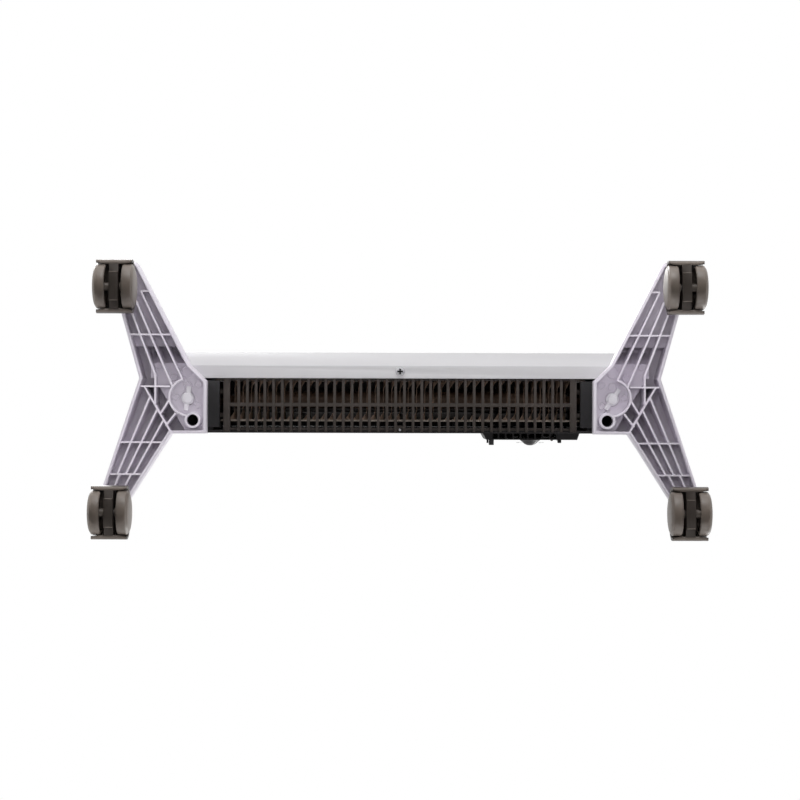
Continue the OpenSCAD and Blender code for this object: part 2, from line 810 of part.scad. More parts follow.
module caster_frame() {
    color(taupe) difference() {
        union() {
            intersection() {
                translate([-hood_w / 2, 0, wheel_r]) rotate([0, 90, 0]) difference() {
                    cylinder(h = hood_w, r = hood_out_r, $fn = 96);
                    translate([0, 0, -1]) cylinder(h = hood_w + 2, r = hood_in_r, $fn = 96);
                }
                translate([-hood_w, -far / 2, hood_low]) cube([2 * hood_w, far, far]);
            }
            intersection() {
                translate([-web_t / 2, 0, wheel_r]) rotate([0, 90, 0])
                    cylinder(h = web_t, r = hood_in_r + hood_t / 2, $fn = 96);
                union() {
                    translate([-web_t, -far / 2, hood_low + 1]) cube([2 * web_t, far, far]);
                    translate([-web_t, -web_end, web_low + web_step_rise]) cube([2 * web_t, 2 * web_end, far]);
                    translate([-web_t, -web_step, web_low]) cube([2 * web_t, 2 * web_step, far]);
                }
            }
            translate([0, 0, socket_z]) cylinder(h = wheel_d + 2 - socket_z, r = socket_r);
            translate([0, 0, wheel_r + hood_in_r + 1]) cylinder(h = boss_top - wheel_r - hood_in_r - 1, r = boss_r);
        }
        translate([0, 0, socket_z]) cylinder(h = far, d = stem_d);
        translate([-web_t, 0, wheel_r]) rotate([0, 90, 0]) cylinder(h = 2 * web_t, d = axle_d);
    }
}

module caster_axle() {
    color(steel) translate([2 - wheel_out + 2.5, 0, wheel_r]) rotate([0, 90, 0])
        cylinder(h = 2 * (wheel_out - 4.5), d = axle_d - 2 * run_gap);
}

// Half section of a wheel: radius, then distance from the caster's middle
module wheel_section() {
    edge = wheel_out - 3;
    dome = wheel_out - edge;
    dome_r = wheel_r - 1.6;
    bore = axle_d / 2;
    polygon(concat(
        [
            [bore, web_t / 2 + hub_gap], [hub_r, web_t / 2 + hub_gap], [hub_r, wheel_in + 3.5],
            [wheel_r - 2.6, wheel_in + 3.5], [wheel_r - 2.6, wheel_in], [wheel_r - 0.8, wheel_in],
            [wheel_r, wheel_in + 0.8], [wheel_r, edge - 1.1], [wheel_r - 0.5, edge - 0.3]
        ],
        [for (a = [0 : 10 : 90]) [dome_r * cos(a), edge + dome * sin(a)]],
        [[0, wheel_out - 4], [bore, wheel_out - 4]]
    ));
}

module wheel(side) {
    color(taupe) translate([0, 0, wheel_r]) rotate([0, side * 90, 0]) rotate_extrude($fn = 96) wheel_section();
}

module at_caster(i) {
    translate([casters[i][0], casters[i][1], 0]) children();
}

module caster_frame_fl() { at_caster(0) caster_frame(); }
module caster_frame_fr() { at_caster(1) caster_frame(); }
module caster_frame_rl() { at_caster(2) caster_frame(); }
module caster_frame_rr() { at_caster(3) caster_frame(); }
module caster_axle_fl() { at_caster(0) caster_axle(); }
module caster_axle_fr() { at_caster(1) caster_axle(); }
module caster_axle_rl() { at_caster(2) caster_axle(); }
module caster_axle_rr() { at_caster(3) caster_axle(); }
module wheel_fl_outer() { at_caster(0) wheel(-1); }
module wheel_fl_inner() { at_caster(0) wheel(1); }
module wheel_fr_outer() { at_caster(1) wheel(1); }
module wheel_fr_inner() { at_caster(1) wheel(-1); }
module wheel_rl_outer() { at_caster(2) wheel(-1); }
module wheel_rl_inner() { at_caster(2) wheel(1); }
module wheel_rr_outer() { at_caster(3) wheel(1); }
module wheel_rr_inner() { at_caster(3) wheel(-1); }

// Heater

module heater_fins() {
    front = fin_clear - shield_front;
    back = shield_rear - fin_clear;
    sleeve_r = tube_d / 2 + 2;
    count = floor(element_half / fin_pitch);
    color(element_metal) difference() {
        union() {
            for (i = [-count : count]) {
                translate([i * fin_pitch - fin_t / 2, 0, element_z]) along_x(fin_t) polygon([
                    [front, -20], [-sleeve_r, -8], [sleeve_r, -8], [back, -20],
                    [back, 20], [sleeve_r, 8], [-sleeve_r, 8], [front, 20]
                ]);
            }
            translate([-element_half, 0, element_z]) rotate([0, 90, 0]) cylinder(h = 2 * element_half, r = sleeve_r);
        }
        translate([-far, 0, element_z]) rotate([0, 90, 0]) cylinder(h = 2 * far, d = tube_d + 0.1);
    }
}

module heater_tube() {
    color(steel) {
        translate([-tube_half, 0, element_z]) rotate([0, 90, 0]) cylinder(h = 2 * tube_half, d = tube_d);
        translate([-tube_half - stud_len, 0, element_z])
            rotate([0, 90, 0]) cylinder(h = 2 * (tube_half + stud_len), d = stud_d);
    }
}

// Bracket that carries the tube and stands on the end block's floor
module element_bracket() {
    low = body_z + block_floor;
    front = -shield_front;
    back = shield_rear;
    color(steel) difference() {
        union() {
            translate([bracket_x, block_front + block_wall, low])
                cube([shield_t + 0.4, block_back - block_front - 2 * block_wall, shield_low - low]);
            translate([bracket_x, front, shield_low]) cube([shield_t + 0.4, back - front, element_rise + 10]);
            for (y = [front, back - shield_t]) {
                translate([bracket_x - 10, y, shield_low]) cube([10 + eps, shield_t, element_rise + 10]);
            }
        }
        translate([bracket_x - 1, 0, element_z]) rotate([0, 90, 0]) cylinder(h = 5, d = tube_d + 0.2);
    }
}

module element_bracket_left() { mirrored() element_bracket(); }
module element_bracket_right() { element_bracket(); }

module front_shield() {
    color(steel) translate([-bracket_x, -shield_front - shield_t, shield_low])
        cube([2 * bracket_x, shield_t, shield_high - shield_low]);
}

module rear_shield() {
    color(steel) translate([-bracket_x, shield_rear, shield_low])
        cube([2 * bracket_x, shield_t, shield_high - shield_low]);
}

module thermal_cutout() {
    color(charcoal) translate([cutout_x, shield_rear + shield_t, shield_low + cutout_rise]) rotate([-90, 0, 0]) {
        cylinder(h = 4.5, d = cutout_d);
        translate([-12, -5, 0]) cube([24, 10, 1]);
    }
}
cutout_x = 60;
cutout_rise = 90;
cutout_d = 16;

// Controls

module box_plan(cut) {
    half = box_w / 2 - cut;
    polygon([
        [-half, wall_y - (cut > 0 ? 1 : 0)], [half, wall_y - (cut > 0 ? 1 : 0)],
        [half - box_bevel * 0.65, face_y - cut], [box_bevel - half, face_y - cut]
    ]);
}

module control_box() {
    color(black) translate([box_x, 0, 0]) difference() {
        union() {
            difference() {
                translate([0, 0, box_low]) linear_extrude(box_h) box_plan(0);
                translate([0, 0, box_low + box_t]) linear_extrude(box_h - 2 * box_t) box_plan(box_t);
                for (i = [0 : vent_count - 1]) {
                    translate([vent_x + i * vent_pitch, wall_y + 1, box_low - 1])
                        cube([vent_w, box_depth - 2.2, box_t + 2]);
                }
            }
            for (x = [-1, 1], z = [-1, 1]) {
                translate([x * screw_inset_x, wall_y, (box_low + box_top) / 2 + z * screw_inset_z])
                    rotate([-90, 0, 0]) cylinder(h = box_depth - 1, r = 4.2);
            }
            translate([bush_x - box_x - guard_dx, face_y - eps, bush_z]) along_y(guard_out)
                square([guard_w, guard_h], center = true);
        }
        translate([knob_x - box_x, face_y - box_t - 1, knob_z]) rotate([-90, 0, 0])
            cylinder(h = box_t + 2, d = shaft_d + 2);
        translate([paddle_x - box_x, face_y - box_t - 1, paddle_z]) along_y(box_t + 2)
            square([switch_w - 2, switch_h - 2], center = true);
        translate([lens_x - box_x, face_y - box_t - 1, paddle_z]) along_y(box_t + 2)
            circle(d = lens_d + 0.6);
        translate([bush_x - box_x, face_y - box_t - 1, bush_z]) along_y(box_t + 2)
            rounded_rect(bush_w + 0.4, bush_h + 0.4, 2.4);
        for (x = [-1, 1], z = [-1, 1]) {
            translate([x * screw_inset_x, wall_y - 1, (box_low + box_top) / 2 + z * screw_inset_z])
                rotate([-90, 0, 0]) cylinder(h = box_depth + 2, d = 3.2);
            translate([x * screw_inset_x, face_y - screw_sink, (box_low + box_top) / 2 + z * screw_inset_z])
                rotate([-90, 0, 0]) cylinder(h = 4, d = 5.6);
        }
    }
}
vent_x = -39.75;
vent_pitch = 7.5;
vent_w = 5.9;
vent_count = 9;
screw_inset_x = box_w / 2 - 9.4;
screw_inset_z = box_h / 2 - 4.6;
screw_sink = 1.4;

module control_screws() {
    color(steel) for (x = [-1, 1], z = [-1, 1]) {
        translate([box_x + x * screw_inset_x, face_y - screw_sink, (box_low + box_top) / 2 + z * screw_inset_z])
            rotate([90, 0, 0]) pan_screw(5, 1.2, 3, box_depth + housing_t - 1);
    }
}

module thermostat() {
    color(charcoal) translate([knob_x, 0, knob_z]) rotate([-90, 0, 0]) {
        translate([0, 0, face_y - box_t - stat_h]) cylinder(h = stat_h, d = stat_d);
        translate([0, 0, face_y - box_t - eps]) cylinder(h = 3.6, d = shaft_d + 1.4);
        translate([0, 0, face_y - box_t - eps]) cylinder(h = box_t + knob_h - 1.9, d = shaft_d - 2 * run_gap);
    }
}

// Bell-shaped knob: a wide foot that sweeps up to a rounded grip
module thermostat_knob() {
    base = face_y + knob_gap;
    height = knob_h - knob_gap;
    wide = knob_d / 2;
    color(black) translate([knob_x, 0, knob_z]) rotate([-90, 0, 0]) difference() {
        translate([0, 0, base]) rotate_extrude($fn = 96) polygon([
            [0, 0], [wide, 0], [wide, 0.5], [wide * 0.9, 0.2 * height], [wide * 0.76, 0.4 * height],
            [wide * 0.63, 0.62 * height], [wide * 0.5, 0.79 * height], [wide * 0.36, 0.91 * height],
            [wide * 0.2, 0.98 * height], [0, height]
        ]);
        translate([0, 0, base - 1]) cylinder(h = 2.6, d = shaft_d + 2.2);
        translate([0, 0, base - 1]) cylinder(h = height - 0.6, d = shaft_d);
    }
}

module switch_body() {
    color(charcoal) difference() {
        union() {
            translate([paddle_x, face_y, paddle_z]) along_y(bezel_t)
                square([switch_w, switch_h], center = true);
            translate([paddle_x, face_y - 14, paddle_z]) along_y(14 + eps)
                square([switch_w - 2.6, switch_h - 2.6], center = true);
        }
        translate([paddle_x, face_y - 6, paddle_z]) along_y(12)
            square([paddle_w + 0.6, paddle_len + 1.8], center = true);
        translate([paddle_x - switch_w / 2, paddle_axis_y, paddle_z]) rotate([0, 90, 0])
            cylinder(h = switch_w, d = paddle_pin_d + 2 * run_gap);
    }
}

// Small domed lens of the pilot light
module pilot_lens() {
    color("darkorange") translate([lens_x, 0, paddle_z]) {
        translate([0, face_y - box_t - 4, 0]) along_y(4) circle(d = lens_d + 3);
        translate([0, face_y - box_t - eps, 0]) along_y(box_t + lens_h - 0.6) circle(d = lens_d);
        translate([0, face_y + lens_h - 0.6 - eps, 0]) rotate([-90, 0, 0])
            cylinder(h = 0.6, d1 = lens_d, d2 = lens_d - 1);
    }
}

// Paddle of the power switch about its own axis: two thin ridges with a groove between them
module power_paddle() {
    half = paddle_len / 2;
    color(black) translate([paddle_x, paddle_axis_y, paddle_z]) rotate([paddle_tilt, 0, 0]) difference() {
        union() {
            translate([-paddle_w / 2, 0, 0]) along_x(paddle_w) polygon([
                [-1.4, 1.5 - half], [4.4, -half], [5, 0.6 - half], [4.1, 0],
                [5, half - 0.6], [4.4, half], [-1.4, half - 1.5], [-2.4, 0]
            ]);
            translate([-paddle_w / 2 - paddle_pin_run, 0, 0]) rotate([0, 90, 0])
                cylinder(h = paddle_w + 2 * paddle_pin_run, d = paddle_pin_d);
        }
        translate([-paddle_groove / 2, 3.4, paddle_cap - half])
            cube([paddle_groove, 4, paddle_len - 2 * paddle_cap]);
    }
}

module cord_bush() {
    color(black) difference() {
        union() {
            translate([bush_x, face_y - box_t - 3, bush_z]) along_y(3) rounded_rect(bush_w + 1.4, bush_h + 3, 3);
            translate([bush_x, face_y - box_t - eps, bush_z]) along_y(box_t + bush_out) rounded_rect(bush_w, bush_h, 2.2);
        }
        translate([bush_x, face_y - box_t - 4, bush_z]) along_y(20) rounded_rect(2.8, 7.6, 1.39);
    }
}

module terminal_block() {
    color(charcoal) translate([bush_x - 3, face_y - box_t - 12, bush_z + 15]) difference() {
        cube([26, 12, 12]);
        for (i = [0 : 2]) {
            translate([5 + 8 * i, -1, 6]) rotate([-90, 0, 0]) cylinder(h = 8, d = 4);
        }
    }
}

// One insulated wire through a list of points
module wire(points, d) {
    for (i = [0 : len(points) - 2]) {
        run = points[i + 1] - points[i];
        tilt = acos(run[2] / norm(run));
        turn = atan2(run[1], run[0]);
        translate(points[i]) rotate([0, tilt, turn]) cylinder(h = norm(run), d = d, $fn = 24);
        if (i > 0) translate(points[i]) sphere(d = d + 0.2, $fn = 24);
    }
}

module lead_wires() {
    drop_x = tube_half + lead_bend;
    stud_end = tube_half + stud_len + lead_gap;
    stat_y = face_y - box_t - stat_h;
    color("dimgray") {
        wire([
            [knob_x + 6, stat_y, knob_z], [knob_x + 6, 12, knob_z], [drop_x, 12, knob_z],
            [drop_x, 0, element_z], [stud_end, 0, element_z]
        ], 2.6);
        wire([
            [knob_x - 6, stat_y, knob_z], [knob_x - 6, 12, knob_z], [knob_x - 6, 12, knob_z - 26],
            [-drop_x, 12, knob_z - 26], [-drop_x, 0, element_z], [-stud_end, 0, element_z]
        ], 2.6);
    }
}

// Tip-over switch on the left end block

module tip_bracket() {
    low = body_z + block_floor;
    color(steel) translate([tip_x, tip_y, low]) {
        translate([-6, -8, 0]) cube([12, 16, 1.2]);
        for (x = [-6, 4.8]) translate([x, -6, 0]) cube([1.2, 12, tip_h]);
        translate([-6, -6, tip_h - 1.2]) cube([12, 12, 1.2]);
        translate([-5, 0, tip_h - 7]) rotate([0, 90, 0]) cylinder(h = 10, d = 2);
    }
}
tip_x = -(bracket_x + 9);
tip_y = 13;
tip_h = 42;
tip_arm = 22;

module tip_pendulum() {
    z = body_z + block_floor + tip_h - 7;
    color("goldenrod") translate([tip_x, tip_y, z]) difference() {
        union() {
            translate([-1.5, 0, 0]) rotate([0, 90, 0]) cylinder(h = 3, d = 5);
            translate([-1.5, -1.2, -tip_arm]) cube([3, 2.4, tip_arm]);
            translate([-3, 0, -tip_arm]) rotate([0, 90, 0]) cylinder(h = 6, d = 9);
        }
        translate([-5, 0, 0]) rotate([0, 90, 0]) cylinder(h = 10, d = 2 + 2 * run_gap);
    }
}

module tip_microswitch() {
    z = body_z + block_floor + tip_h;
    color(charcoal) translate([tip_x, tip_y, z]) {
        translate([-5, -10, 0]) cube([10, 20, 10]);
        for (y = [-6, 0, 6]) translate([-0.4, y - 1.5, 10 - eps]) cube([0.8, 3, 5]);
    }
}

front_panel();
rear_housing();
base_grille();
top_grille();
end_block_left();
end_block_right();
foot_left();
foot_right();
wing_screw_left();
wing_screw_right();
caster_stems();
caster_frame_fl();
caster_frame_fr();
caster_frame_rl();
caster_frame_rr();
caster_axle_fl();
caster_axle_fr();
caster_axle_rl();
caster_axle_rr();
wheel_fl_outer();
wheel_fl_inner();
wheel_fr_outer();
wheel_fr_inner();
wheel_rl_outer();
wheel_rl_inner();
wheel_rr_outer();
wheel_rr_inner();
heater_fins();
heater_tube();
element_bracket_left();
element_bracket_right();
front_shield();
rear_shield();
control_box();
thermostat();
thermostat_knob();
switch_body();
power_paddle();
pilot_lens();
cord_bush();
terminal_block();
lead_wires();
thermal_cutout();
tip_bracket();
tip_microswitch();
tip_pendulum();
panel_screw();
grille_screw();
housing_screws();
control_screws();
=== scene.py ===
# %% [markdown]
# # A convector heater, seen from underneath
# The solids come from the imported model, in metres and already in place. This lesson dresses them:
# rounded edges, moulding details, real finishes, lamps and the photograph's camera. Every new piece
# rides on the body that it belongs to, so the casters still roll and the knob still turns.

# %% Load the frame
import json
import math

import bmesh
import bpy
from mathutils import Matrix, Vector


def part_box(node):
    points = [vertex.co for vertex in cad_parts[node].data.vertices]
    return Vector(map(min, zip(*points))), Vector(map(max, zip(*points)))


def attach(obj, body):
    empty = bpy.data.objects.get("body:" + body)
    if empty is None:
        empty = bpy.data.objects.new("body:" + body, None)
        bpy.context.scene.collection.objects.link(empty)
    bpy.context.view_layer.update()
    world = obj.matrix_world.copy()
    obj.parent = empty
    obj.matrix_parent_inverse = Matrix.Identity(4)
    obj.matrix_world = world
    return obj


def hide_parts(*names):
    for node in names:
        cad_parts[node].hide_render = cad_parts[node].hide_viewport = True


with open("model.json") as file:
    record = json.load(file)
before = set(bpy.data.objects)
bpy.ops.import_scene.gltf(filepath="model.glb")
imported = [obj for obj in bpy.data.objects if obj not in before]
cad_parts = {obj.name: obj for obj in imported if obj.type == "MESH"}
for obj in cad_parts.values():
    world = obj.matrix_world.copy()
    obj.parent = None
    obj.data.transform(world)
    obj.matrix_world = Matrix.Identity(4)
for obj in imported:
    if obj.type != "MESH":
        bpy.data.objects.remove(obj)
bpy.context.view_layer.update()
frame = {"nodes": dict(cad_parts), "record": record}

# the frame is in metres, and the sizes of a heater are easier to read in millimetres
MM = 0.001

# %% [markdown]
# ## The camera
# The photograph looks straight up at the heater. The vanishing of the deep grille says how far away
# the camera stood: about two metres under the floor. Its image has the front of the heater at the
# top and the heater's +X end at the right, with a very small roll. Blender keeps an object apart
# from its data: a camera, lamp or mesh is made first, and an object then carries it into the scene.

# %% Camera
CAMERA_BELOW = 2.0
# a hair off the middle, as in the photograph
CAMERA_Y = -0.00015
IMAGE_PX = 800
FOCAL_PX = 2247
SENSOR_MM = 36.0
ROLL = math.radians(0.155)
NEAREST, FARTHEST = 0.05, 60


def new_object(name, data):
    """An object of the scene, at the origin, that carries the data."""
    made = bpy.data.objects.new(name, data)
    bpy.context.scene.collection.objects.link(made)
    return made


camera_data = bpy.data.cameras.new("camera")
camera_data.sensor_width = SENSOR_MM
camera_data.lens = FOCAL_PX * SENSOR_MM / IMAGE_PX
camera_data.clip_start, camera_data.clip_end = NEAREST, FARTHEST
camera = new_object("camera", camera_data)
# half a turn about X makes the camera look along +Z, with -Y up and +X to the right
camera.matrix_world = (
    Matrix.Translation((0, CAMERA_Y, -CAMERA_BELOW))
    @ Matrix.Rotation(math.pi, 4, "X")
    @ Matrix.Rotation(ROLL, 4, "Z")
)
bpy.context.scene.camera = camera
bpy.context.scene.view_settings.view_transform = "Standard"
print("lens:", round(camera_data.lens, 2), "mm")

# %% [markdown]
# ## Colours, patterns and nodes
# Every finish below is a small network of shader nodes, and three helpers keep it readable. Colours
# are written as hex codes, as in a paint program, but shader sockets take linear light, so one
# function converts them. The next gives a pattern its real size, because the Scale of a noise says
# how many of its features fit into a metre. The last adds any node with its settings and links.


# %% Colours, patterns and nodes
def linear(code):
    """A hex sRGB colour as linear RGBA, which is what shader sockets take."""
    channels = [int(code[i:i + 2], 16) / 255 for i in (1, 3, 5)]
    return [c / 12.92 if c <= 0.04045 else ((c + 0.055) / 1.055) ** 2.4 for c in channels] + [1]


def per_metre(size_mm):
    """The Scale of a pattern whose features are this many millimetres wide."""
    return 1 / (size_mm * MM)


def add(tree, kind, settings=None, **inputs):
    """Adds a node. Settings are its properties; inputs are values, or sockets to link from.

    An input is named as in Blender, with _ for a space, or i and its number, such as i0.
    """
    node = tree.nodes.new(kind)
    for name, value in (settings or {}).items():
        setattr(node, name, value)
    for name, value in inputs.items():
        key = int(name[1:]) if name[0] == "i" and name[1:].isdigit() else name.replace("_", " ")
        socket = node.inputs[key]
        if isinstance(value, bpy.types.NodeSocket):
            tree.links.new(value, socket)
        else:
            socket.default_value = value
    return node


print("mid grey #808080 is, in linear light:", round(linear("#808080")[0], 3))

# %% [markdown]
# ## The world
# The world does two jobs. As a light it is a weak, plain pale grey, so it fills the shadows and
# leaves the modelling to the lamps. To the camera, through glass and in reflections it is pure
# white, as a photographer's paper is, and the Light Path node tells the two jobs apart. Reflections
# see less of it straight below, where the dark side of the studio is.

# %% World
LIGHT_LEVEL = 0.21
DARK_SIDE_LEVEL = 0.06
DARK_SIDE_FROM, DARK_SIDE_TO = -0.9, -0.4

world = bpy.data.worlds.new("studio")
bpy.context.scene.world = world
world.use_nodes = True
tree = world.node_tree
tree.nodes.clear()
path = add(tree, "ShaderNodeLightPath")
through = add(tree, "ShaderNodeMath", {"operation": "MAXIMUM"},
              i0=path.outputs["Is Camera Ray"], i1=path.outputs["Is Transmission Ray"])
seen = add(tree, "ShaderNodeMath", {"operation": "MAXIMUM"},
           i0=through.outputs[0], i1=path.outputs["Is Glossy Ray"])
lighting = add(tree, "ShaderNodeBackground", Color=linear("#F4F4F8"), Strength=LIGHT_LEVEL)
# on a world, Generated is the direction that a ray goes in
direction = add(tree, "ShaderNodeTexCoord").outputs["Generated"]
toward = add(tree, "ShaderNodeSeparateXYZ", Vector=direction)
below = add(tree, "ShaderNodeMapRange", {"interpolation_type": "SMOOTHSTEP"},
            Value=toward.outputs["Z"], From_Min=DARK_SIDE_FROM, From_Max=DARK_SIDE_TO,
            To_Min=DARK_SIDE_LEVEL, To_Max=1.0)
white_level = add(tree, "ShaderNodeMath", {"operation": "MAXIMUM"},
                  i0=below.outputs["Result"], i1=through.outputs[0])
backdrop = add(tree, "ShaderNodeBackground", Color=(1, 1, 1, 1), Strength=white_level.outputs[0])
mix = add(tree, "ShaderNodeMixShader", Fac=seen.outputs[0],
          i1=lighting.outputs[0], i2=backdrop.outputs[0])
add(tree, "ShaderNodeOutputWorld", Surface=mix.outputs[0])
print("world:", len(tree.nodes), "nodes")

# %% [markdown]
# ## The floor
# The heater stands on a pale floor, which catches its shadow and fades to the backdrop's white
# farther out. The photograph was taken from below, where a floor would hide everything, so the
# material is see-through from its underside and lets the lamps' light pass. Backfacing, a fact
# about the surface itself, tells the two sides apart.

# %% Floor
FLOOR_HALF = 6.0
# distances from the heater, in metres
FADE_FROM, FADE_TO = 0.7, 2.6
FLOOR_GRAIN_MM = 16.667


def empty_material(name):
    """A material with an empty node tree, and that tree."""
    material = bpy.data.materials.new(name)
    material.use_nodes = True
    material.node_tree.nodes.clear()
    return material, material.node_tree


mesh = bpy.data.meshes.new("floor")
mesh.from_pydata([(-FLOOR_HALF, -FLOOR_HALF, 0), (FLOOR_HALF, -FLOOR_HALF, 0),
                  (FLOOR_HALF, FLOOR_HALF, 0), (-FLOOR_HALF, FLOOR_HALF, 0)], [], [(0, 1, 2, 3)])
floor = new_object("floor", mesh)

material, tree = empty_material("pale studio floor, open from below")
path = add(tree, "ShaderNodeLightPath")
side = add(tree, "ShaderNodeNewGeometry")
place = add(tree, "ShaderNodeTexCoord").outputs["Object"]
away = add(tree, "ShaderNodeVectorMath", {"operation": "LENGTH"}, i0=place)
fade = add(tree, "ShaderNodeMapRange", {"interpolation_type": "SMOOTHSTEP"},
           Value=away.outputs["Value"], From_Min=FADE_FROM, From_Max=FADE_TO)
far_seen = add(tree, "ShaderNodeMath", {"operation": "MULTIPLY"},
               i0=fade.outputs["Result"], i1=path.outputs["Is Camera Ray"])
grain = add(tree, "ShaderNodeTexNoise", Vector=place, Scale=per_metre(FLOOR_GRAIN_MM), Detail=3.0)
rough = add(tree, "ShaderNodeMapRange", Value=grain.outputs["Fac"], To_Min=0.55, To_Max=0.7)
surface = add(tree, "ShaderNodeBsdfPrincipled", Base_Color=linear("#EDEDED"),
              Roughness=rough.outputs["Result"])
white = add(tree, "ShaderNodeEmission", Color=(1, 1, 1, 1), Strength=1.0)
faded = add(tree, "ShaderNodeMixShader", Fac=far_seen.outputs[0],
            i1=surface.outputs[0], i2=white.outputs[0])
clear = add(tree, "ShaderNodeBsdfTransparent")
open_below = add(tree, "ShaderNodeMath", {"operation": "MAXIMUM"},
                 i0=side.outputs["Backfacing"], i1=path.outputs["Is Shadow Ray"])
both = add(tree, "ShaderNodeMixShader", Fac=open_below.outputs[0],
           i1=faded.outputs[0], i2=clear.outputs[0])
add(tree, "ShaderNodeOutputMaterial", Surface=both.outputs[0])
mesh.materials.append(material)
print("floor:", 2 * FLOOR_HALF, "m square")

# %% [markdown]
# ## The lamps
# Large round area lamps give soft edges to every shadow. The key stands low in front and lights
# the underside at a slant, which shapes the ribs of the feet. A weak fill comes from beside the
# camera and a rim lamp from behind. Two lamps overhead light the heater when it is seen from above.


# %% Lamps
def lamp(name, place, target, size, watts):
    """A round area lamp at a place, turned to the target."""
    data = bpy.data.lights.new(name, "AREA")
    data.shape = "DISK"
    data.size = size
    data.energy = watts
    made = new_object(name, data)
    made.location = place
    made.rotation_euler = (Vector(target) - Vector(place)).to_track_quat("-Z", "Y").to_euler()
    return made


lamp("key_front_low", (0.0, -2.4, -0.8), (0, 0, 0.1), 1.0, 34)
fill = lamp("fill_below", (0.0, -0.5, -2.4), (0, 0, 0.05), 0.9, 6)
# chrome and black plastic don't mirror the fill, which stands where the photographer does
fill.visible_glossy = False
lamp("rim_rear_low", (0.3, 2.3, -0.7), (0, 0, 0.05), 0.8, 9)
lamp("over_front", (-1.1, -1.2, 2.9), (0, 0, 0.2), 1.6, 52)
lamp("over_rear", (1.6, 2.0, 2.0), (0, 0, 0.2), 1.6, 36)

# %% [markdown]
# ## Finishes of moulded plastic
# Most of the heater is injection-moulded: white feet, charcoal grille, black rear housing, taupe
# casters. Moulded ABS and polypropylene have a refractive index near 1.5. Their colour is nearly
# even, so the eye reads them by two small things: faint clouding where the melt flowed, and the
# fine spark-eroded grain of the mould, which breaks up the highlight. One function makes the family
# and each finish gives its own colours, roughness and grain. The real grain is about a tenth of a
# millimetre, too fine to show, so it is drawn several times coarser.

# %% Moulded plastic
PLASTIC_IOR = 1.5
CLOUD_MM = 38.0
ROUGHNESS_SPREAD = 0.06
# noise lies mostly between these two values, so they are stretched to the full range
NOISE_LOW, NOISE_HIGH = 0.35, 0.65


def moulded_plastic(name, colour, cloud, roughness, grain_mm=0.6, relief_mm=0.03, gloss=0.5):
    """A plastic with clouds of a second colour and a fine grain; gloss scales its reflection."""
    material, tree = empty_material(name)
    place = add(tree, "ShaderNodeTexCoord").outputs["Object"]
    clouds = add(tree, "ShaderNodeTexNoise", Vector=place, Scale=per_metre(CLOUD_MM), Detail=3.0)
    spread = add(tree, "ShaderNodeMapRange", Value=clouds.outputs["Fac"],
                 From_Min=NOISE_LOW, From_Max=NOISE_HIGH)
    tone = add(tree, "ShaderNodeMix", {"data_type": "RGBA"}, i0=spread.outputs["Result"],
               i6=linear(cloud), i7=linear(colour))
    grain = add(tree, "ShaderNodeTexNoise", Vector=place, Scale=per_metre(grain_mm), Detail=2.0)
    dull = add(tree, "ShaderNodeMapRange", Value=grain.outputs["Fac"],
               To_Min=roughness - ROUGHNESS_SPREAD, To_Max=roughness + ROUGHNESS_SPREAD)
    bump = add(tree, "ShaderNodeBump", Strength=0.35, Distance=relief_mm * MM,
               Height=grain.outputs["Fac"])
    # a coarse grain traps part of what a smooth face would reflect, hence the lower gloss
    surface = add(tree, "ShaderNodeBsdfPrincipled", Base_Color=tone.outputs[2], IOR=PLASTIC_IOR,
                  Roughness=dull.outputs["Result"], Specular_IOR_Level=gloss,
                  Normal=bump.outputs["Normal"])
    add(tree, "ShaderNodeOutputMaterial", Surface=surface.outputs[0])
    return material


finish = {
    # white polypropylene with a cool, slightly lilac pigment: soft sheen, even colour
    "foot_plastic": moulded_plastic("white moulded polypropylene", "#EEE9F1", "#E8E1EC", 0.42),
    # the wing screws are acetal, a little glossier than the feet; their whiter colour is partly
    # painted highlight
    "wing_plastic_painted_lighter": moulded_plastic("white acetal with painted highlight", "#F4F2F6", "#EEECF1", 0.34, 0.5, 0.02),
    # black ABS housing with a fine leather-like grain
    "housing_plastic": moulded_plastic("black grained ABS", "#272526", "#201E1F", 0.5, 0.9, 0.06,
                                       gloss=0.3),
    # the intake grille, a glass-filled nylon that stays slightly dusty grey
    "grille_plastic": moulded_plastic("charcoal glass-filled nylon", "#433C38", "#3A3430", 0.42,
                                      0.7, gloss=0.4),
    # the blocks that the feet bolt to, a grey-black ABS a little colder than the grille
    "block_plastic": moulded_plastic("charcoal ABS", "#29282A", "#232223", 0.5, 0.8, gloss=0.3),
    # the casters' hoods, a dark taupe nylon, and their wheels, paler with a satin tread
    "caster_plastic": moulded_plastic("taupe caster nylon", "#544D48", "#4B4540", 0.42, 0.7),
    "wheel_plastic": moulded_plastic("taupe wheel nylon", "#877D75", "#7E756D", 0.42, 0.7, 0.01),
    # the switch's paddle, polished black ABS
    "rocker_plastic": moulded_plastic("polished black ABS", "#1C1C1D", "#171718", 0.2, 1.2, 0.01),
    # the cord's bush, a soft black rubber with a powdery bloom
    "bush_rubber": moulded_plastic("black bush rubber", "#262526", "#1F1E1F", 0.7, 0.5, 0.05),
    # braided glass-fibre sleeving of the heater's leads; its dark colour is partly painted shade for
    # the dim inside
    "wire_insulation": moulded_plastic("glass-fibre sleeving darkened as painted shade", "#2E2926", "#25211F", 0.6, 0.5),
    # pad-printed ink on the knob and its scale: matt, thin and a little grey
    "dial_ink": moulded_plastic("white printing ink", "#D2D2CF", "#C8C8C5", 0.6, 0.5, 0.01),
}
print("moulded finishes:", sorted(finish))

# %% [markdown]
# ## Powder coat
# The front panel is steel sheet with a powder coat. The powder melts into a paint film whose tiny
# waves, the orange peel, are two or three millimetres long. Real waves in the mesh would take
# millions of faces, so a bump tilts only the light. A slow change of tone, as wide as a hand,
# stands for the film's uneven thickness.

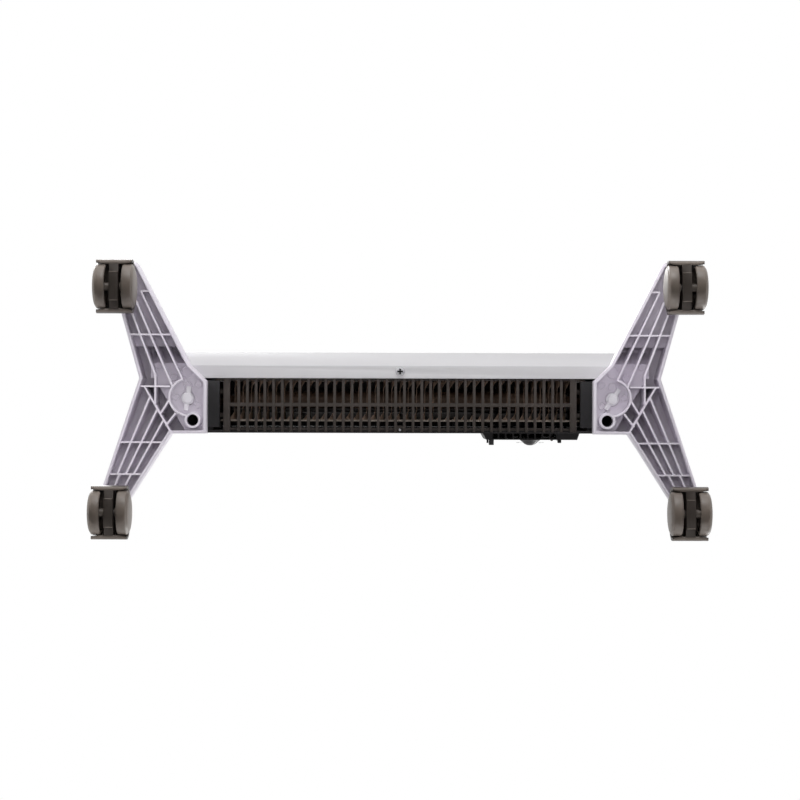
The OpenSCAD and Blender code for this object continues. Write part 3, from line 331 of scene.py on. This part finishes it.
# %% Powder coat
FILM_MM = 90.0
PEEL_MM = 2.5
PEEL_RELIEF_MM = 0.02
ENAMEL_ROUGHNESS, ENAMEL_SPREAD = 0.45, 0.05

material, tree = empty_material("white powder coat")
place = add(tree, "ShaderNodeTexCoord").outputs["Object"]
peel = add(tree, "ShaderNodeTexNoise", Vector=place, Scale=per_metre(PEEL_MM), Detail=1.0)
film = add(tree, "ShaderNodeTexNoise", Vector=place, Scale=per_metre(FILM_MM), Detail=2.0)
tone = add(tree, "ShaderNodeMix", {"data_type": "RGBA"}, i0=film.outputs["Fac"],
           i6=linear("#CFCED0"), i7=linear("#D3D2D4"))
dull = add(tree, "ShaderNodeMapRange", Value=peel.outputs["Fac"],
           To_Min=ENAMEL_ROUGHNESS - ENAMEL_SPREAD, To_Max=ENAMEL_ROUGHNESS + ENAMEL_SPREAD)
bump = add(tree, "ShaderNodeBump", Strength=0.25, Distance=PEEL_RELIEF_MM * MM,
           Height=peel.outputs["Fac"])
surface = add(tree, "ShaderNodeBsdfPrincipled", Base_Color=tone.outputs[2], IOR=PLASTIC_IOR,
              Roughness=dull.outputs["Result"], Normal=bump.outputs["Normal"])
add(tree, "ShaderNodeOutputMaterial", Surface=surface.outputs[0])
finish["panel_enamel"] = material
print("powder coat:", len(tree.nodes), "nodes")

# %% [markdown]
# ## Bare and plated metal
# The element's fins are aluminium that heat has browned, the air shields are bare galvanised sheet
# and the screws are zinc or chrome plated. Bare metals keep the default IOR and take their look
# from colour and roughness. Where oxide or dust covers the metal, the surface is less metallic,
# because the cover scatters light as a paint does. Stains and grain could be painted as pictures,
# but two noises keep their real size on every piece.

# %% Bare metal
METAL_SPREAD = 0.08
METAL_RELIEF_MM = 0.01


def bare_metal(name, colour, stain, roughness, grain_mm, stain_mm=14.0, metal=1.0):
    """A metal with faint stains and a fine grain; metal is how much of it lies bare."""
    material, tree = empty_material(name)
    place = add(tree, "ShaderNodeTexCoord").outputs["Object"]
    grain = add(tree, "ShaderNodeTexNoise", Vector=place, Scale=per_metre(grain_mm), Detail=3.0)
    stains = add(tree, "ShaderNodeTexNoise", Vector=place, Scale=per_metre(stain_mm), Detail=3.0)
    spread = add(tree, "ShaderNodeMapRange", Value=stains.outputs["Fac"],
                 From_Min=NOISE_LOW, From_Max=NOISE_HIGH)
    tone = add(tree, "ShaderNodeMix", {"data_type": "RGBA"}, i0=spread.outputs["Result"],
               i6=linear(stain), i7=linear(colour))
    dull = add(tree, "ShaderNodeMapRange", Value=grain.outputs["Fac"],
               To_Min=roughness - METAL_SPREAD, To_Max=roughness + METAL_SPREAD)
    bump = add(tree, "ShaderNodeBump", Strength=0.2, Distance=METAL_RELIEF_MM * MM,
               Height=grain.outputs["Fac"])
    surface = add(tree, "ShaderNodeBsdfPrincipled", Base_Color=tone.outputs[2], Metallic=metal,
                  Roughness=dull.outputs["Result"], Normal=bump.outputs["Normal"])
    add(tree, "ShaderNodeOutputMaterial", Surface=surface.outputs[0])
    return material


finish.update({
    # aluminium fins, browned by heat and dust; the eye sees the matt brown oxide alone
    "fin_aluminium": bare_metal("heat-browned aluminium", "#BFA695", "#A38B79", 0.5, 0.8,
                                metal=0.0),
    # the element's sheath, a steel tube that has glowed and is now a dull dark brown
    "element_steel": bare_metal("heat-browned steel sheath", "#5E4A3C", "#4A392E", 0.5, 0.5,
                                metal=0.3),
    # galvanised shields and brackets, their zinc gone dull and warm
    "sheet_steel": bare_metal("galvanised sheet", "#C4B8AD", "#B0A498", 0.45, 1.2, stain_mm=9.0,
                              metal=0.2),
    # zinc-plated screws, stems and axles, a clean cold grey
    "zinc_steel": bare_metal("zinc-plated steel", "#B4B4B6", "#9D9DA0", 0.3, 0.3),
    # the pendulum's weight, turned from brass and never polished
    "pendulum_brass": bare_metal("turned brass", "#B99A5B", "#A5874C", 0.28, 0.25),
    # chrome plate on the panel's screw mirrors the room almost clearly
    "bright_screw": bare_metal("chrome plate", "#DEDEE0", "#D0D0D3", 0.09, 0.4),
    # inside that screw's recess a near-black steel is painted shade, as little light comes out of the
    # recess again
    "recess_steel_painted_shade": bare_metal("dull steel of a recess", "#2A2A2C", "#202022", 0.5, 0.4, metal=0.6),
})
print("metals:", [name for name in finish if "steel" in name or "brass" in name])

# %% [markdown]
# ## The pilot light's lens
# The lens is tinted acrylic, so light goes some way into it. Transmission with a low roughness
# gives its depth, and a slow noise keeps the tint from looking painted on.

# %% Lens finish
STREAK_MM = 1.5

material, tree = empty_material("amber acrylic lens")
place = add(tree, "ShaderNodeTexCoord").outputs["Object"]
streaks = add(tree, "ShaderNodeTexNoise", Vector=place, Scale=per_metre(STREAK_MM), Detail=1.0)
tone = add(tree, "ShaderNodeMix", {"data_type": "RGBA"}, i0=streaks.outputs["Fac"],
           i6=linear("#2E130A"), i7=linear("#45200F"))
surface = add(tree, "ShaderNodeBsdfPrincipled", Base_Color=tone.outputs[2], Roughness=0.12,
              IOR=1.49, Transmission_Weight=0.35)
add(tree, "ShaderNodeOutputMaterial", Surface=surface.outputs[0])
finish["lens_amber"] = material
print("finishes:", len(finish))

# %% [markdown]
# ## Slots and bodies
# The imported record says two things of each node: its slot, which is the name of its finish, and the
# body that it moves with. Two dictionaries keep them at hand, so that no piece has to repeat them.

# %% Slots and bodies
slot_of = {part["node"]: part["material_slot"] for part in frame["record"]["subparts"]}
body_of = {node: body for body, nodes in frame["record"]["behaviour"]["bodies"].items()
           for node in nodes}
print("slots without a finish:", sorted(set(slot_of.values()) - set(finish)))

# %% [markdown]
# ## Rounding the moulded edges
# A real moulding has no knife edges: a radius of a few tenths of a millimetre runs along every rib
# and rim, and it is what draws the bright lines in the photograph. The CAD copies arrive as loose
# triangles, so each copy is merged, its flat triangles are joined into whole faces, and a small
# bevel rounds what is left sharp. The result replaces the CAD node and rides on the same body.
# Smooth shading spreads a little of the rounding's tilt over the faces beside it. On the broad
# black faces at the rear that shows as pale fans, so there the broad faces shade flat.

# %% Dressing a CAD node
MERGE_WITHIN = 2e-6
COPLANAR = math.radians(0.4)
BEVEL_SEGMENTS = 2
SHARP_FROM = math.radians(32)
FLAT_FACED = ("rear_housing", "control_box")
FLAT_AREA = 40 * MM * MM
# the two wing screws share the feet's slot but get a whiter finish, which is partly painted highlight
PAINTED_LIGHTER_FINISH = {"wing_screw_left": "wing_plastic_painted_lighter", "wing_screw_right": "wing_plastic_painted_lighter"}


def merged_copy(node):
    """The node's mesh as a closed one, with coplanar triangles joined."""
    mesh = frame["nodes"][node].data.copy()
    work = bmesh.new()
    work.from_mesh(mesh)
    bmesh.ops.remove_doubles(work, verts=work.verts, dist=MERGE_WITHIN)
    bmesh.ops.dissolve_limit(work, angle_limit=COPLANAR, verts=work.verts, edges=work.edges)
    for face in work.faces:
        face.smooth = True
    work.to_mesh(mesh)
    work.free()
    return mesh


def plain_mesh(thing):
    """Gives the object its modifiers' result as a plain mesh, and clears the modifiers."""
    bpy.context.view_layer.update()
    evaluated = thing.evaluated_get(bpy.context.evaluated_depsgraph_get())
    done = bpy.data.meshes.new_from_object(evaluated)
    thing.modifiers.clear()
    thing.data = done
    return thing


def place_piece(thing, node):
    """Gives the piece its finish and lets it stand for its CAD node, on that node's body."""
    slot = slot_of[node]
    thing.data.materials.clear()
    thing.data.materials.append(finish[PAINTED_LIGHTER_FINISH.get(node, slot)])
    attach(thing, body_of[node])
    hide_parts(node)
    return thing


def shade_flat_faces(mesh):
    """Broad faces shade flat, and the narrow ones of the rounding stay smooth."""
    if mesh.has_custom_normals:
        mesh.attributes.remove(mesh.attributes["custom_normal"])
    for face in mesh.polygons:
        face.use_smooth = face.area < FLAT_AREA


def rounded(node, radius_mm, detail=None):
    """A copy of the node with rounded edges; the detail is a function that adds to its bmesh."""
    thing = new_object(node + "_piece", merged_copy(node))
    bevel = thing.modifiers.new("rounded edges", "BEVEL")
    bevel.width = radius_mm * MM
    bevel.segments = BEVEL_SEGMENTS
    bevel.limit_method = "ANGLE"
    bevel.angle_limit = SHARP_FROM
    bevel.harden_normals = True
    plain_mesh(thing)
    if detail:
        work = bmesh.new()
        work.from_mesh(thing.data)
        detail(work)
        work.to_mesh(thing.data)
        work.free()
    if node in FLAT_FACED:
        shade_flat_faces(thing.data)
    return place_piece(thing, node)


print("nodes in the frame:", len(frame["nodes"]))

# %% [markdown]
# ## Ejector marks
# Ejector pins push a moulding out of its mould, and each leaves a shallow round mark with a raised
# rim on the hidden side. The marks are turned discs under a millimetre high, added to the foot's
# own mesh. Turning a profile about an axis is how a lathe makes a round part: each point of the
# profile becomes a ring of points, and the rings are joined. One function does it for the marks,
# for a collar and for the screw's head.

# %% Ejector marks of the feet
# height of the foot's hidden face, where the pins pushed
MARK_Z = 62.0
MARK_STEPS = 32
# x, y and radius of each mark on the right foot; the left foot mirrors them
EJECTOR_MARKS = [(221.9, -30.8, 3.2), (207.2, -20.7, 3.2), (185.1, -13.8, 3.2), (205.8, -2.4, 3.2),
                 (185.6, 5.0, 3.2), (194.8, -12.5, 4.0), (195.2, -25.3, 5.5)]
# what each point of the profile adds to the radius, and its height: first the rim, then the dish
MARK_PROFILE = [(0.3, 0.5), (0.3, -0.1), (0.0, -0.8), (-0.5, -0.8), (-0.9, -0.1)]


def join_rings(work, rings):
    """Joins rings of points, all with the same number of them, into one closed shape."""
    rings = [[work.verts.new(point) for point in ring] for ring in rings]
    faces = []
    for near, far in zip(rings, rings[1:]):
        for k in range(len(near)):
            n = (k + 1) % len(near)
            faces.append(work.faces.new((near[k], near[n], far[n], far[k])))
    faces.append(work.faces.new(rings[0][::-1]))
    faces.append(work.faces.new(rings[-1]))
    bmesh.ops.recalc_face_normals(work, faces=faces)


def turned(work, profile, steps, place):
    """Turns a profile of (radius, height) points about Z, at a place given as a matrix."""
    turns = [2 * math.pi * k / steps for k in range(steps)]
    join_rings(work, [[place @ Vector((radius * math.cos(t), radius * math.sin(t), height))
                       for t in turns] for radius, height in profile])


def ejector_marks(side):
    """The marks of one foot, as a detail; side is 1 for the right foot and -1 for the left."""
    def detail(work):
        for x, y, radius in EJECTOR_MARKS:
            profile = [((radius + wider) * MM, height * MM) for wider, height in MARK_PROFILE]
            turned(work, profile, MARK_STEPS,
                   Matrix.Translation((side * x * MM, y * MM, MARK_Z * MM)))
    return detail


print("ejector marks per foot:", len(EJECTOR_MARKS))

# %% [markdown]
# ## Lip, collar and ledge
# Three parts inside get a small addition as well. The rear shield's lower edge is folded forward
# into a narrow lip, which draws the light line behind the bars. The heater's tube sits in a collar
# that the fins are pressed on, and a ledge in the housing closes the joint under the top grille.
# They could be pieces of their own, but each belongs to its part's metal or plastic, so it is a
# plain block or a turned ring in that part's mesh.

# %% Shield lip, tube collar and outlet ledge
FOLD_DEPTH, FOLD_T = 0.8, 0.5
COLLAR_R, COLLAR_STEPS = 8.0, 40
LEDGE_DEPTH, LEDGE_T, LEDGE_Z, LEDGE_HALF = 1.4, 1.2, 423.6, 186.0
# the ledge reaches this far behind the top grille
LEDGE_BEHIND = 0.3


def block(work, centre, size):
    """A plain block, for a fold or a ledge."""
    bmesh.ops.create_cube(work, size=1.0,
                          matrix=Matrix.Translation(centre) @ Matrix.Diagonal((*size, 1)))


def shield_lip(work):
    """The fold along the lower edge of the rear shield."""
    low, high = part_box("rear_shield")
    size = (high[0] - low[0], FOLD_DEPTH * MM, FOLD_T * MM)
    block(work, ((low[0] + high[0]) / 2, low[1] - size[1] / 2, low[2] + size[2] / 2), size)


def tube_collar(work):
    """The collar round the tube, as long as the row of fins."""
    low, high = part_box("heater_fins")
    along_x = Matrix.Rotation(math.pi / 2, 4, "Y")
    turned(work, [(COLLAR_R * MM, low[0]), (COLLAR_R * MM, high[0])], COLLAR_STEPS,
           Matrix.Translation((0, 0, (low[2] + high[2]) / 2)) @ along_x)


def outlet_ledge(work):
    """The ledge on the housing's rear wall, under the top grille."""
    low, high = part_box("top_grille")
    size = (2 * LEDGE_HALF * MM, LEDGE_DEPTH * MM, LEDGE_T * MM)
    block(work, ((low[0] + high[0]) / 2, high[1] + (LEDGE_BEHIND - LEDGE_DEPTH / 2) * MM,
                 LEDGE_Z * MM), size)


DETAILS = {"foot_right": ejector_marks(1), "foot_left": ejector_marks(-1),
           "rear_shield": shield_lip, "heater_tube": tube_collar, "rear_housing": outlet_ledge}
print("nodes with an added detail:", sorted(DETAILS))

# %% [markdown]
# ## The rounded pieces
# Each part gets the radius of its own process: a folded and painted panel has the widest, the
# mouldings have a third to half a millimetre, and stamped or small parts have less. Marking every
# edge by hand would take days, so one table gives the radii and the bevel finds the edges.

# %% Rounded pieces
CORNERS = ("fl", "fr", "rl", "rr")
ROUNDING_MM = {
    "front_panel": 0.7, "rear_housing": 0.35, "base_grille": 0.55,
    "end_block_left": 0.4, "end_block_right": 0.4, "foot_left": 0.35, "foot_right": 0.35,
    "wing_screw_left": 0.3, "wing_screw_right": 0.3,
    "control_box": 0.4, "switch_body": 0.15, "power_paddle": 0.25, "cord_bush": 0.4,
    "terminal_block": 0.3, "thermal_cutout": 0.2, "thermostat": 0.3, "tip_bracket": 0.2,
    "tip_microswitch": 0.3, "tip_pendulum": 0.3, "grille_screw": 0.08,
    "element_bracket_left": 0.2, "element_bracket_right": 0.2, "rear_shield": 0.15,
    "heater_tube": 0.3,
}
for corner in CORNERS:
    ROUNDING_MM["caster_frame_" + corner] = 0.6
    ROUNDING_MM["wheel_%s_outer" % corner] = 0.45
    ROUNDING_MM["wheel_%s_inner" % corner] = 0.45

for node, radius_mm in ROUNDING_MM.items():
    piece = rounded(node, radius_mm, DETAILS.get(node))
    print(f"{node}: {len(piece.data.polygons)} faces")

# %% [markdown]
# ## The panel screw
# A chrome pan head with a cross recess holds the panel's bottom return. Part of a sphere would be
# too round for its flat crown, so head and shank are one turned profile. The dome mirrors the white
# room at its sides and the studio's dark side in its middle, which makes it read as chrome.

# %% Head and shank of the panel screw
HEAD_STEPS = 48
# radius and height from the crown of the head, which faces down, to the tip of the shank
HEAD_PROFILE = [(0.02, 0.0), (0.9, 0.05), (1.8, 0.22), (2.7, 0.56), (3.4, 1.0), (3.95, 1.55),
                (4.25, 2.1), (4.25, 2.5), (1.8, 2.5), (1.8, 10.5)]


def mesh_of(work, name):
    """The finished bmesh as a mesh of that name."""
    mesh = bpy.data.meshes.new(name)
    work.to_mesh(mesh)
    work.free()
    return mesh


low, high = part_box("panel_screw")
centre = Matrix.Translation(((low[0] + high[0]) / 2, (low[1] + high[1]) / 2, low[2]))
work = bmesh.new()
turned(work, [(r * MM, h * MM) for r, h in HEAD_PROFILE], HEAD_STEPS, centre)
screw = new_object("panel_screw_piece", mesh_of(work, "panel_screw_piece"))
print("crown of the head at z", round(low[2], 4))

# %% [markdown]
# The recess is cut as a toolmaker would punch it: a Boolean takes away two slots that narrow
# towards their floor, a quarter turn apart. Its faces then get a near-black steel, which is painted
# shade of the recess. They are found by where they lie and by which way they face, because a
# Boolean doesn't say which faces it made.

# %% Cross recess
SLOT_W, SLOT_L, SLOT_DEPTH = 1.9, 5.2, 2.3
SLOT_ABOVE, SLOT_TIP = 0.4, 0.25
# the cross's faces lie within its size and a margin. Faces that look down there belong to the
# crown, apart from those in the last layer of the depth, which are the cross's floor.
CUT_MARGIN = 0.1
LOOKS_DOWN = -0.7
FLOOR_LAYER = 0.3

for quarter in (0, 1):
    work = bmesh.new()
    slot_place = centre @ Matrix.Rotation(math.pi / 2 * quarter, 4, "Z")
    wedge = ((-SLOT_W / 2, -SLOT_ABOVE), (SLOT_W / 2, -SLOT_ABOVE),
             (SLOT_TIP, SLOT_DEPTH), (-SLOT_TIP, SLOT_DEPTH))
    join_rings(work, [[slot_place @ Vector((x * MM, y * MM, z * MM)) for x, z in wedge]
                      for y in (-SLOT_L / 2, SLOT_L / 2)])
    punch = new_object("punch", mesh_of(work, "punch"))
    cut = screw.modifiers.new("cross recess", "BOOLEAN")
    cut.operation, cut.solver, cut.object = "DIFFERENCE", "EXACT", punch
    plain_mesh(screw)
    bpy.data.objects.remove(punch)

place_piece(screw, "panel_screw")
# the second finish, for the faces inside the cross recess, is painted shade
screw.data.materials.append(finish["recess_steel_painted_shade"])
for face in screw.data.polygons:
    face.use_smooth = False
    middle = centre.inverted() @ face.center / MM
    in_cross = math.hypot(middle.x, middle.y) < SLOT_L / 2 + CUT_MARGIN
    in_depth = middle.z < SLOT_DEPTH + CUT_MARGIN
    not_crown = face.normal.z > LOOKS_DOWN or middle.z > SLOT_DEPTH - FLOOR_LAYER
    if in_cross and in_depth and not_crown:
        face.material_index = 1
print("panel screw:", len(screw.data.polygons), "faces")

# %% [markdown]
# ## The rolled lips of the caster hoods
# The hood's lower edges end in a rolled lip at the front and at the back. It is widest in its
# middle, runs out at its ends and stays clear of the wheels. Two fine beads cross the web where it
# steps up; they take the wheels' paler taupe, which is painted highlight along the step's edges. A
# curve with one round section couldn't change its width and height apart, so an oval ring of points
# is set out at each station along the lip, and the rings are joined.

# %% Hood lips
HOOD_HALF = 16.1
LIP_OUTER_Y, LIP_MID_Z = 23.45, 14.1
# half the lip's width in its middle, the share of it that the ends lose, and the power that keeps
# the loss near the ends; then the same for its height
LIP_HALF_Y, LIP_END_Y, LIP_CURVE_Y = 1.75, 0.72, 5
LIP_HALF_H, LIP_END_H, LIP_CURVE_H = 1.1, 0.5, 6
WEB_HALF, WEB_STEP_Y, WEB_LOW = 4.1, 12.7, 8.0
BEAD_UP, BEAD_HALF_Y, BEAD_HALF_H = 0.1, 0.4, 0.3
STATIONS, AROUND = 25, 12


def oval(x, y, z, half_y, half_z):
    """Points of an upright oval ring across X."""
    turns = [2 * math.pi * k / AROUND for k in range(AROUND)]
    return [(x * MM, (y + half_y * math.cos(t)) * MM, (z + half_z * math.sin(t)) * MM)
            for t in turns]


for corner in CORNERS:
    low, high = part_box("caster_frame_" + corner)
    mid_x = (low[0] + high[0]) / 2 / MM
    mid_y = (low[1] + high[1]) / 2 / MM
    work = bmesh.new()
    for side in (-1, 1):
        rings = []
        for i in range(STATIONS):
            along = 2 * i / (STATIONS - 1) - 1
            half_y = LIP_HALF_Y * (1 - LIP_END_Y * abs(along) ** LIP_CURVE_Y)
            half_z = LIP_HALF_H * (1 - LIP_END_H * abs(along) ** LIP_CURVE_H)
            rings.append(oval(mid_x + HOOD_HALF * along, mid_y + side * (LIP_OUTER_Y - half_y),
                              LIP_MID_Z, half_y, half_z))
        join_rings(work, rings)
        # the beads, paler than the web that they lie on, are painted highlight along its steps
        join_rings(work, [oval(mid_x + x, mid_y + side * WEB_STEP_Y, WEB_LOW + BEAD_UP,
                               BEAD_HALF_Y, BEAD_HALF_H) for x in (-WEB_HALF, WEB_HALF)])
    for face in work.faces:
        face.smooth = True
    lips = new_object("hood_lips_" + corner, mesh_of(work, "hood_lips_" + corner))
    # lips and beads take the wheels' taupe; on the beads it is painted highlight
    lips.data.materials.append(finish["wheel_plastic"])
    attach(lips, body_of["caster_frame_" + corner])
    print(lips.name, [round(v, 1) for v in (mid_x, mid_y)], len(lips.data.polygons), "faces")

# %% [markdown]
# ## The knob's line
# The thermostat's knob is a plain dome, so a printed line shows where it points. Ink is far thinner
# than this, but a raised strip keeps its place in the exported mesh. The strip follows the dome,
# points at the scale's first tick and turns with the knob.

# %% Line on the knob
PRINT_UP, PRINT_IN, LINE_HALF = 0.12, 0.3, 0.5
# shares of the knob's radius and height, from near its foot to near its crown
LINE_PROFILE = [(0.9, 0.2), (0.76, 0.4), (0.63, 0.62), (0.5, 0.79), (0.36, 0.91)]
# clockwise from the top, as seen from behind the heater
FIRST_TICK = math.radians(-135)

low, high = [[v / MM for v in corner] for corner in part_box("thermostat_knob")]
knob_x, knob_z = (low[0] + high[0]) / 2, (low[2] + high[2]) / 2
knob_r, knob_low, knob_top = (high[0] - low[0]) / 2, low[1], high[1]
points = [(share * knob_r, knob_low + up * (knob_top - knob_low)) for share, up in LINE_PROFILE]
out_x, out_z = -math.sin(FIRST_TICK), math.cos(FIRST_TICK)
rings = []
for k, (r, y) in enumerate(points):
    before, after = points[max(k - 1, 0)], points[min(k + 1, len(points) - 1)]
    run, rise = before[0] - after[0], after[1] - before[1]
    slope = math.hypot(run, rise)
    ring = []
    for side, lift in ((-1, -PRINT_IN), (-1, PRINT_UP), (1, PRINT_UP), (1, -PRINT_IN)):
        at_r, at_y = r + lift * rise / slope, y + lift * run / slope
        at_x = knob_x + at_r * out_x + side * LINE_HALF * out_z
        at_z = knob_z + at_r * out_z - side * LINE_HALF * out_x
        ring.append((at_x * MM, at_y * MM, at_z * MM))
    rings.append(ring)
work = bmesh.new()
join_rings(work, rings)
line = new_object("knob_line", mesh_of(work, "knob_line"))
line.data.materials.append(finish["dial_ink"])
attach(line, body_of["thermostat_knob"])
print("knob line:", len(line.data.polygons), "faces")

# %% [markdown]
# ## Copies by Geometry Nodes
# The knob's scale and the element's fins are one shape, many times. A node group says the rule: it
# lays out points, puts a copy of the shape on each, makes the copies real and paints them. Copies
# that stay instances would be lost in the export, so every group ends in Realize Instances and Set
# Material, which a helper adds. A modifier takes a group's inputs by each socket's identifier.


# %% Helpers for copies
def copies_group(name, sizes):
    """A node group with named inputs for its sizes, its shape and its finish."""
    group = bpy.data.node_groups.new(name, "GeometryNodeTree")
    group.interface.new_socket("Geometry", in_out="INPUT", socket_type="NodeSocketGeometry")
    for label, kind in (*sizes, ("Shape", "Object"), ("Finish", "Material")):
        group.interface.new_socket(label, in_out="INPUT", socket_type="NodeSocket" + kind)
    group.interface.new_socket("Geometry", in_out="OUTPUT", socket_type="NodeSocketGeometry")
    return group, add(group, "NodeGroupInput").outputs


def copies_on(group, inputs, points, **turn):
    """Ends the group: a copy of the shape on each point, made real and painted."""
    shape = add(group, "GeometryNodeObjectInfo", {"transform_space": "ORIGINAL"},
                Object=inputs["Shape"])
    copies = add(group, "GeometryNodeInstanceOnPoints", Points=points,
                 Instance=shape.outputs["Geometry"], **turn)
    real = add(group, "GeometryNodeRealizeInstances", Geometry=copies.outputs[0])
    painted = add(group, "GeometryNodeSetMaterial", Geometry=real.outputs[0],
                  Material=inputs["Finish"])
    add(group, "NodeGroupOutput", Geometry=painted.outputs[0])


def copied(name, group, values):
    """An object with the group's result, for these values of its inputs, as a plain mesh."""
    thing = new_object(name, bpy.data.meshes.new(name))
    modifier = thing.modifiers.new(group.name, "NODES")
    modifier.node_group = group
    for socket in group.interface.items_tree:
        if socket.in_out == "INPUT" and socket.name in values:
            modifier[socket.identifier] = values[socket.name]
    return plain_mesh(thing)


print("node groups before the copies:", len(bpy.data.node_groups))

# %% [markdown]
# ## The knob's scale
# Printed ticks around the knob show its range. The shape is one small block that already stands at
# the right distance. Every point lies on the knob's axis, and only the turn of each copy grows from
# one to the next.

# %% Scale round the knob
TICKS, TICK_STEP = 11, math.radians(-27)
TICK_LOW, TICK_HIGH, TICK_HALF, TICK_IN = 12.4, 14.6, 0.3, 0.1

work = bmesh.new()
bmesh.ops.create_cube(work, size=1)
for vert in work.verts:
    vert.co = Vector((vert.co.x * 2 * TICK_HALF,
                      (vert.co.y + 0.5) * (PRINT_UP + TICK_IN) - TICK_IN,
                      (TICK_LOW + TICK_HIGH) / 2 + vert.co.z * (TICK_HIGH - TICK_LOW))) * MM
tick = new_object("tick", mesh_of(work, "tick"))

group, inputs = copies_group("ticks round a knob", [
    ("Count", "Int"), ("First angle", "Float"), ("Step angle", "Float"), ("Centre", "Vector")])
axis = add(group, "GeometryNodeMeshLine", {"mode": "OFFSET"}, Count=inputs["Count"],
           Start_Location=inputs["Centre"], Offset=(0.0, 0.0, 0.0))
number = add(group, "GeometryNodeInputIndex")
angle = add(group, "ShaderNodeMath", {"operation": "MULTIPLY_ADD"}, i0=number.outputs[0],
            i1=inputs["Step angle"], i2=inputs["First angle"])
turn = add(group, "ShaderNodeCombineXYZ", Y=angle.outputs[0])
copies_on(group, inputs, axis.outputs[0], Rotation=turn.outputs[0])

box_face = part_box("control_box")[1][1] / MM
scale = copied("knob_scale", group, {
    "Count": TICKS, "First angle": -FIRST_TICK, "Step angle": TICK_STEP,
    "Centre": (knob_x * MM, box_face * MM, knob_z * MM),
    "Shape": tick, "Finish": finish["dial_ink"]})
bpy.data.objects.remove(tick)
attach(scale, body_of["control_box"])
print("knob scale:", TICKS, "ticks,", len(scale.data.polygons), "faces")

# %% [markdown]
# ## The finned element
# Each fin is a thin aluminium plate pressed on the tube. Its outline is a bow tie, and its lower
# corners are bent over sideways to stir the rising air. A sheet is easier to bend than a solid, so
# one fin is a grid whose points are moved into that shape, and Solidify gives it its thickness.

# %% One fin
FIN_PITCH, FIN_T = 7.7 * MM, 0.6 * MM
# the bow tie's neck, half its width and half its height
NECK_Y, NECK_H = 6 * MM, 8 * MM
BEND_LENGTH = 8.5 * MM
BEND_ANGLE = math.radians(84)
# the bend starts at this share of the way from the neck to the edge, and grows by this power
BEND_FROM, BEND_GROWTH = 0.35, 1.5
# where the sheet is straight, this keeps the radius of its bend finite
LEAST_ANGLE = 1e-4
ACROSS = 28
# shares of the bent height, from the lower edge, close together where the sheet bends
RISE = [0.0, 0.12, 0.24, 0.36, 0.5, 0.7, 1.0]
# shares of the straight height above it
STRAIGHT = (0.25, 0.5, 0.75, 1.0)

low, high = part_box("heater_fins")
fin_axis_z = (low[2] + high[2]) / 2
fin_half_h = (high[2] - low[2]) / 2
work = bmesh.new()
grid = []
for i in range(ACROSS + 1):
    y = low[1] + (high[1] - low[1]) * i / ACROSS
    reach = high[1] if y > 0 else -low[1]
    way_out = max(0.0, (abs(y) - NECK_Y) / (reach - NECK_Y))
    half = NECK_H + (fin_half_h - NECK_H) * way_out
    # the sheet is bent round by an angle that grows towards the corner
    growth = max(0.0, (way_out - BEND_FROM) / (1 - BEND_FROM)) ** BEND_GROWTH
    angle = BEND_ANGLE * growth + LEAST_ANGLE
    radius = BEND_LENGTH / angle
    start = BEND_LENGTH - half
    row = []
    for part in RISE:
        bend = angle * (1 - part)
        row.append(work.verts.new((-math.copysign(radius, y) * (1 - math.cos(bend)), y,
                                   start - radius * math.sin(bend))))
    for part in STRAIGHT:
        row.append(work.verts.new((0.0, y, start + (half - start) * part)))
    grid.append(row)
for left, right in zip(grid, grid[1:]):
    for j in range(len(left) - 1):
        work.faces.new((left[j], right[j], right[j + 1], left[j + 1]))
for face in work.faces:
    face.smooth = True
fin = new_object("fin", mesh_of(work, "fin"))
sheet = fin.modifiers.new("sheet", "SOLIDIFY")
sheet.thickness = FIN_T
sheet.offset = 0.0
plain_mesh(fin)
print("one fin:", len(fin.data.polygons), "faces")

# %% [markdown]
# The fins stand in a row along the tube, all at one pitch, as a stamping machine presses them on:
# a Mesh Line has one point for each fin, and the middle one lies at the heater's centre.

# %% Fins along the tube
group, inputs = copies_group("fins in a row", [
    ("Count", "Int"), ("Pitch", "Float"), ("Start", "Vector")])
step = add(group, "ShaderNodeCombineXYZ", X=inputs["Pitch"])
tube = add(group, "GeometryNodeMeshLine", {"mode": "OFFSET"}, Count=inputs["Count"],
           Start_Location=inputs["Start"], Offset=step.outputs[0])
copies_on(group, inputs, tube.outputs[0])

fin_count = 2 * int(low[0] / -FIN_PITCH) + 1
fins = copied("heater_fins_piece", group, {
    "Count": fin_count, "Pitch": FIN_PITCH,
    "Start": (-FIN_PITCH * (fin_count // 2), 0.0, fin_axis_z),
    "Shape": fin, "Finish": finish["fin_aluminium"]})
bpy.data.objects.remove(fin)
place_piece(fins, "heater_fins")
print("fins:", fin_count, "faces:", len(fins.data.polygons))

# %% [markdown]
# ## The remaining nodes
# Screws, stems, axles, shields, the knob, the lens, the wires and the top grille have the right
# shape already. They stay as they are and only get the finish of their slot.

# %% Finishes of the remaining nodes
for node, thing in frame["nodes"].items():
    if node not in ROUNDING_MM and node != "heater_fins":
        thing.data.materials.clear()
        thing.data.materials.append(finish[slot_of[node]])
        print("finish only:", node)
